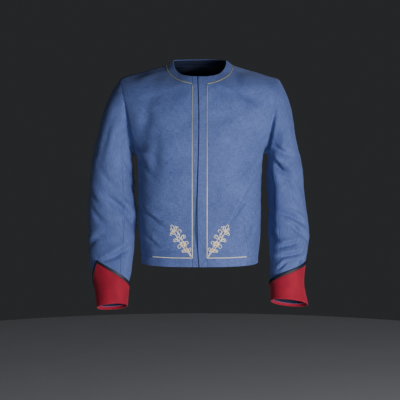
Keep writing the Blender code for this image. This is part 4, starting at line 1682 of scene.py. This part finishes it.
@dataclass
class GiltCords:
    """Thin twisted gilt cords along the front bands, the hem bands and the neck."""

    body: ClothBody
    ply_radius: float = 0.00056
    pitch: float = 0.0042
    step: float = 0.0008
    lift: float = 0.0011
    hem_share: float = 0.50

    def skin_line(self, piece: str, half: Half, pick: Callable) -> tuple[Array, Array]:
        """Points and normals of one grid line of a piece."""
        skin = self.body.skin
        for grid in skin.grids:
            right_half = math.copysign(1.0, float(grid.points[..., 0].mean())) == half.value
            if grid.piece == piece and right_half:
                rows, columns = grid.push.shape
                index = grid.start + np.arange(rows * columns).reshape(rows, columns)
                line = pick(index)
                return skin.points[line], skin.normals[line]
        raise ValueError(piece)

    def add_line(self, name: str, node: str, line: Array, normals: Array, gilt: object) -> None:
        """Twist one cord along a line of the cloth."""
        both = resample(np.concatenate([line, normals], axis=1), self.step)
        line, normals = both[:, :3], unit(both[:, 3:])
        tubes = TubeBuilder(sides=5)
        tubes.add_twist(line + normals * self.lift, normals, self.ply_radius, self.pitch)
        add_piece(name, tubes.mesh(name), gilt, (node,))

    def build(self, gilt: bpy.types.Material) -> None:
        """Make the two front cords and the neck cord."""
        form = self.body.form
        for half in Half:
            side = half.name.lower()
            u = finer(0, 1, self.body.columns, (0.0, 1.0), 0.0065)
            reach = int(np.searchsorted(u, self.hem_share))
            v = self.body.row_numbers(Facing.FRONT)
            v = v[v > -1e-6]
            top = int(np.searchsorted(v, form.front_neck_row - 0.12))
            piece = f"front_panel_{side}"
            hem, hem_normals = self.skin_line(piece, half, lambda g, r=reach: g[0, r:0:-1])
            rise, rise_normals = self.skin_line(piece, half, lambda g, t=top: g[:t, 0])
            line = np.concatenate([hem, rise])
            normals = np.concatenate([hem_normals, rise_normals])
            self.add_line(f"front_cord_{side}_twist", f"front_cord_{side}", line, normals, gilt)
        quarters = []
        for half, facing in (
            (Half.RIGHT, Facing.FRONT),
            (Half.RIGHT, Facing.BACK),
            (Half.LEFT, Facing.BACK),
            (Half.LEFT, Facing.FRONT),
        ):
            skin = self.body.skin
            for grid in skin.grids:
                near = grid.points.mean(axis=(0, 1))
                fits = near[0] * half.value > 0 and (near[1] < form.side_seam_y) == (
                    facing is Facing.FRONT
                )
                if grid.piece == "neckband" and fits:
                    index = grid.start + np.arange(grid.push.shape[1])
                    forward = (half is Half.RIGHT) == (facing is Facing.FRONT)
                    quarters.append(index if forward else index[::-1])
        index = np.concatenate([quarters[0]] + [quarter[1:] for quarter in quarters[1:]])
        skin = self.body.skin
        self.add_line("neck_cord_twist", "neck_cord", skin.points[index], skin.normals[index], gilt)


@dataclass
class Cuffs:
    """Red cuffs with a peaked upper edge, and the black braid that covers it."""

    sleeve: SleeveForm
    gap: float = 0.0008
    cloth: float = 0.0021
    rows: int = 44
    columns: int = 132
    end: float = 8.0
    roll: float = 0.0008
    braid_width: float = 0.0085
    braid_height: float = 0.0014
    braid_overhang: float = 0.0010
    lay_gap: float = 0.0004
    plait_mm: float = 3.4

    def raised(self, turn: Array, place: Array, height: Array | float) -> Array:
        """Points above the sleeve's surface."""
        height = np.broadcast_to(height, np.broadcast(turn, place).shape)[..., None]
        return self.sleeve.point(turn, place) + self.sleeve.normal(turn, place) * height

    def build(self, red: bpy.types.Material, black: bpy.types.Material) -> None:
        """Make the cuff and its braid."""
        side = self.sleeve.half.name.lower()
        turn = np.linspace(0, 360, self.columns + 1)[None, :]
        share = finer(0, 1, self.rows, (0.0, 1.0), 0.012)[:, None]
        top = self.sleeve.cuff_top(turn)
        place = top * (1 - share) + self.end * share
        height = self.gap + self.cloth - self.roll * smoothstep((share - 0.97) / 0.03)
        swell = 0.0010 * np.sin(share * math.pi) * np.cos(np.radians(3 * turn + 40))
        points = self.raised(turn, place, height + swell * (share > 0.2))
        skin = ClothSkin()
        grain = grain_from(points, 1.0)
        skin.add(ClothGrid("cuff", points, np.zeros(points.shape[:2]), grain, self.sleeve.half.value))
        skin.close()
        mesh = skin.wall("cuff", self.cloth)
        cuff = add_piece(f"cuff_{side}_cloth", mesh, red, (f"cuff_{side}",))
        self.build_braid(side, black)

    def build_braid(self, side: str, black: bpy.types.Material) -> None:
        """Make the flat plaited braid along the cuff's upper edge."""
        steps = 460
        turn = np.linspace(0, 360, steps + 1)[None, :]
        across = np.linspace(0, 1, 11)[:, None]
        top = self.sleeve.cuff_top(turn)
        first = self.sleeve.below(turn, top, -self.braid_overhang)
        last = self.sleeve.below(turn, top, self.braid_width - self.braid_overhang)
        place = first * (1 - across) + last * across
        flat = self.raised(turn, place, self.gap + self.cloth)
        walked = run_lengths(flat[5:6], 1) / MM
        chevron = np.abs(across - 0.5) * self.braid_width / MM
        plait = np.abs(np.sin(math.pi * (walked - chevron) / self.plait_mm))
        groove = 1 - np.exp(-(((across - 0.5) / 0.07) ** 2))
        edge = np.sqrt(np.clip(1 - (2 * across - 1) ** 4, 0, 1))
        relief = 0.00045 * plait * groove * edge
        base = self.gap + self.cloth + self.lay_gap + self.braid_height - 0.0004
        points = self.raised(turn, place, base + relief - 0.0004 * (1 - edge))
        skin = ClothSkin()
        grain = grain_from(points, 1.0)
        skin.add(
            ClothGrid("braid", points, np.zeros(points.shape[:2]), grain, self.sleeve.half.value)
        )
        skin.close()
        mesh = skin.wall("braid", self.braid_height - 0.0004)
        add_piece(
            f"cuff_braid_{side}_plait", mesh, black, (f"cuff_braid_{side}",)
        )


@dataclass
class Underlap:
    """Navy strip behind the front opening, sewn inside the right front's edge."""

    body: ClothBody
    half_width: float = 0.0095
    cloth: float = 0.0013
    behind: float = 0.0024
    short: float = 0.008

    def build(self, navy: bpy.types.Material) -> None:
        """Make the strip."""
        form = self.body.form
        skin = self.body.skin
        grid = next(g for g in skin.grids if g.piece == "front_band_right")
        index = grid.start + np.arange(grid.push.size).reshape(grid.push.shape)
        seam = skin.points[index[:, -1]]
        normals = skin.normals[index[:, -2]]
        middle, _ = form.split(seam[:, 2])
        across = np.linspace(-1, 1, 9)
        points = np.repeat(seam[:, None, :], len(across), axis=1)
        points[..., 0] = middle[:, None] + across[None, :] * self.half_width
        points = points - normals[:, None, :] * self.behind
        walked = run_lengths(points, 0)[:, 4]
        keep = (walked > self.short) & (walked < walked[-1] - self.short)
        points = points[keep]
        strip = ClothSkin()
        grain = grain_from(points, 1.0)
        strip.add(ClothGrid("underlap", points, np.zeros(points.shape[:2]), grain, 1.0))
        strip.close()
        mesh = strip.wall("underlap", self.cloth, 0.0003)
        piece = add_piece(
            "front_underlap_cloth", mesh, navy, ("front_underlap",)
        )


@dataclass
class CornerSpray:
    """Couched gilt scroll-and-leaf spray in the corner of one front.

    The spray is drawn on the wearer's left front from the cord corner, with X away from
    the middle and Z up, in millimetres, and mirrored for the other front.
    """

    tree: BVHTree
    half: Half
    corner: tuple[float, float] = (0.0225, -0.5040)
    thread: float = 0.00080
    step: float = 0.0009
    tubes: TubeBuilder = field(default_factory=lambda: TubeBuilder(sides=6))
    satin: TubeBuilder = field(default_factory=lambda: TubeBuilder(sides=6))

    def to_cloth(self, line: Array) -> Array:
        """Front-view X and Z of points of the drawing."""
        x = (self.corner[0] + line[:, 0] * MM) * self.half.value
        z = self.corner[1] + line[:, 1] * MM
        return np.stack([x, z], axis=1)

    def stroke(self, line: list[tuple[float, float]] | Array, width: float = 1.0) -> None:
        """Couch one thread along a drawn line."""
        route = resample(self.to_cloth(np.array(line, float)), self.step)
        points, normals = lay_on(self.tree, route, self.thread * width * 0.7)
        taper = np.ones(len(points))
        self.tubes.add(points, normals, self.thread * width * taper, 0.85)

    def scroll(
        self, x: float, z: float, start: float, sweep: float, radius: float, end: float
    ) -> None:
        """Couch a curl that winds from one radius to another.

        Args:
            x: middle of the curl across.
            z: middle of the curl up.
            start: angle at which it starts, in degrees.
            sweep: how far it turns, in degrees; negative is clockwise.
            radius: radius at its start.
            end: radius at its end.
        """
        t = np.linspace(0, 1, 24)
        angle = np.radians(start + sweep * t)
        size = radius + (end - radius) * t
        self.stroke(np.stack([x + size * np.cos(angle), z + size * np.sin(angle)], axis=1))

    def leaf(self, x: float, z: float, way: float, length: float, width: float) -> None:
        """Couch a closed leaf outline with a vein.

        Args:
            x: its foot across.
            z: its foot up.
            way: direction of its tip, in degrees.
            length: its length.
            width: its greatest width.
        """
        t = np.linspace(0, 2 * math.pi, 26)
        along = length * (0.5 - 0.5 * np.cos(t))
        over = width / 2 * np.sin(t) * (1 - 0.35 * np.cos(t)) ** 0.5
        a = math.radians(way)
        outline = np.stack(
            [
                x + along * math.cos(a) - over * math.sin(a),
                z + along * math.sin(a) + over * math.cos(a),
            ],
            axis=1,
        )
        self.stroke(outline, 0.9)

    def rosette(self, x: float, z: float, radius: float, petals: int) -> None:
        """Couch a small flower: looped petals round a satin-stitched middle."""
        for petal in range(petals):
            self.leaf(x, z, 360 / petals * petal + 18, radius, radius * 0.62)
        for ring in (0.9, 1.9):
            t = np.linspace(0, 2 * math.pi, 14)
            route = np.stack([x + ring * np.cos(t), z + ring * np.sin(t)], axis=1)
            line = resample(self.to_cloth(route), self.step)
            points, normals = lay_on(self.tree, line, self.thread * 1.5)
            self.satin.add(points, normals, self.thread * 1.1)

    def build(self, gilt: bpy.types.Material, silk: bpy.types.Material) -> None:
        """Make the spray."""
        self.stroke([(0, 0), (7, 10), (14, 17), (22, 27), (31, 40), (39, 54), (44, 66)], 1.1)
        self.stroke([(0, 2.2), (5, 13), (11, 22), (17, 34), (26, 46), (33, 60), (41, 70)], 0.9)
        self.rosette(20.5, 33.0, 8.5, 6)
        self.rosette(11.0, 17.5, 5.0, 5)
        for x, z, start, sweep, radius, end in (
            (30, 26, 150, -330, 7.5, 1.8),
            (11, 36, 290, 340, 7.5, 1.8),
            (42, 42, 190, -320, 7.0, 1.8),
            (19, 52, 320, 330, 7.5, 1.8),
            (52, 58, 180, -300, 5.5, 1.5),
            (29, 67, 300, 330, 6.5, 1.6),
            (36, 76, 270, 300, 4.8, 1.4),
            (33, 46, 60, 340, 5.5, 1.4),
            (21, 14, 160, -320, 4.8, 1.4),
        ):
            self.scroll(x, z, start, sweep, radius, end)
        for x, z, way, length, width in (
            (11, 14, 12, 12, 5.5),
            (5, 13, 104, 11, 5.0),
            (28, 37, 184, 11, 5.0),
            (33, 42, 8, 10, 4.6),
            (38, 51, 128, 12, 5.0),
            (25, 45, 110, 12, 5.0),
            (42, 60, 20, 12, 5.0),
            (44, 66, 66, 19, 7.0),
            (44, 66, 104, 15, 5.5),
            (44, 66, 34, 13, 5.0),
        ):
            self.leaf(x, z, way, length, width)
        side = self.half.name.lower()
        add_piece(f"corner_spray_{side}", self.tubes.mesh("spray"), gilt)
        add_piece(f"spray_middle_{side}", self.satin.mesh("middle"), silk)


@dataclass
class SewnLines:
    """Fine sunk lines in a dark painted shade: waist darts and the mitres of the front bands."""

    tree: BVHTree
    radius: float = 0.00042
    step: float = 0.0016
    darts: tuple = (
        ((-0.1230, -0.430), (-0.1290, -0.466), (-0.1300, -0.490), (-0.1295, -0.507)),
        ((0.1150, -0.400), (0.1200, -0.442), (0.1270, -0.480), (0.1310, -0.507)),
    )
    mitres: tuple = (
        ((0.0195, -0.507), (0.0110, -0.518), (0.0035, -0.529)),
        ((-0.0195, -0.507), (-0.0130, -0.517), (-0.0060, -0.528)),
    )

    def build(self, dark: bpy.types.Material) -> None:
        """Make the sewn lines."""
        tubes = TubeBuilder(sides=5)
        for route in self.darts + self.mitres:
            line = resample(np.array(route), self.step)
            points, normals = lay_on(self.tree, line, -self.radius * 0.25)
            tubes.add(points, normals, self.radius, 0.8)
        add_piece("dart_and_mitre_seams", tubes.mesh("seams"), dark)


@dataclass
class Studio:
    """Plain pale floor, soft lights and the camera."""

    camera_distance: float = 3.0
    camera_height: float = -0.158
    camera_x: float = 0.0008
    tilt_down: float = 3.89
    lens_mm: float = 99.6
    floor_z: float = -1.05
    floor_radius: float = 2.2
    fill: float = 0.042

    def add_floor(self) -> None:
        """Lay a large round floor of matt painted board."""
        steps = 96
        angles = np.linspace(0, 2 * math.pi, steps, endpoint=False)
        rim = [
            (self.floor_radius * math.cos(a), self.floor_radius * math.sin(a), self.floor_z)
            for a in angles
        ]
        mesh = bpy.data.meshes.new("floor")
        mesh.from_pydata(rim, [], [tuple(range(steps))])
        material, tree, shader = new_material("matt_painted_floor")
        place = add_node(tree, "ShaderNodeTexCoord")
        noise = add_node(
            tree, "ShaderNodeTexNoise", Vector=place.outputs["Object"], Scale=6.0, Detail=3.0
        )
        colour = add_node(
            tree,
            "ShaderNodeMix",
            {"data_type": "RGBA"},
            i0=noise.outputs["Fac"],
            i6=linear("#D6D7D8"),
            i7=linear("#E0E1E2"),
        )
        tree.links.new(colour.outputs[2], shader.inputs["Base Color"])
        shader.inputs["Roughness"].default_value = 0.9
        mesh.materials.append(material)
        floor = bpy.data.objects.new("floor", mesh)
        bpy.context.scene.collection.objects.link(floor)

    def add_light(
        self, name: str, place: tuple, aim: tuple, size: tuple, watts: float, colour: str
    ) -> None:
        """Hang one soft rectangular light.

        Args:
            name: its name.
            place: where it hangs.
            aim: the point that it faces.
            size: width and height.
            watts: power.
            colour: sRGB hex colour.
        """
        light = bpy.data.lights.new(name, "AREA")
        light.shape = "RECTANGLE"
        light.size, light.size_y = size
        light.energy = watts
        light.color = linear(colour)[:3]
        lamp = bpy.data.objects.new(name, light)
        lamp.location = place
        way = Vector(aim) - Vector(place)
        lamp.rotation_euler = way.to_track_quat("-Z", "Y").to_euler()
        bpy.context.scene.collection.objects.link(lamp)

    def build(self) -> None:
        """Make world, floor, lights and camera."""
        world = bpy.data.worlds.new("studio")
        world.use_nodes = True
        sky = world.node_tree.nodes["Background"]
        sky.inputs["Color"].default_value = linear("#C9CCD2")
        sky.inputs["Strength"].default_value = self.fill
        bpy.context.scene.world = world
        self.add_floor()
        self.add_light(
            "key", (1.55, -2.5, -0.56), (0.02, 0, -0.30), (0.7, 0.7), 92.0, "#F8F7FF"
        )
        self.add_light(
            "front_fill", (0.05, -3.1, -0.50), (0, 0, -0.33), (0.7, 0.7), 17.0, "#EEF1FF"
        )
        camera = bpy.data.cameras.new("camera")
        camera.lens = self.lens_mm
        camera.sensor_width = 36.0
        viewer = bpy.data.objects.new("camera", camera)
        viewer.location = (self.camera_x, -self.camera_distance, self.camera_height)
        viewer.rotation_euler = (math.radians(90 - self.tilt_down), 0.0, 0.0)
        bpy.context.scene.collection.objects.link(viewer)
        bpy.context.scene.camera = viewer


def main() -> None:
    """Build the jacket's pieces in order, then the studio."""
    logging.basicConfig(level=logging.INFO, format="%(name)s %(message)s")
    blue = BLUE_WORSTED.build()
    navy = NAVY_WORSTED.build()
    dark = SEAM_SHADE.build()
    red = RED_FACECLOTH.build()
    black = BLACK_MOHAIR.build()
    gilt = GILT_CORD.build()
    thread = GILT_THREAD.build()
    silk = ORANGE_SILK.build()
    body = ClothBody(FORM, SLEEVES)
    body.build()
    # The inner face of the cloth is drawn in painted shade.
    body.dress(blue, INNER_FACE_SHADE.build())
    GiltCords(body).build(gilt)
    for sleeve in SLEEVES:
        Cuffs(sleeve).build(red, black)
    Underlap(body).build(navy)
    tree = body.front_tree()
    for half in Half:
        CornerSpray(tree, half).build(thread, silk)
    SewnLines(tree).build(dark)
    Studio().build()


if __name__ == "__main__":
    main()
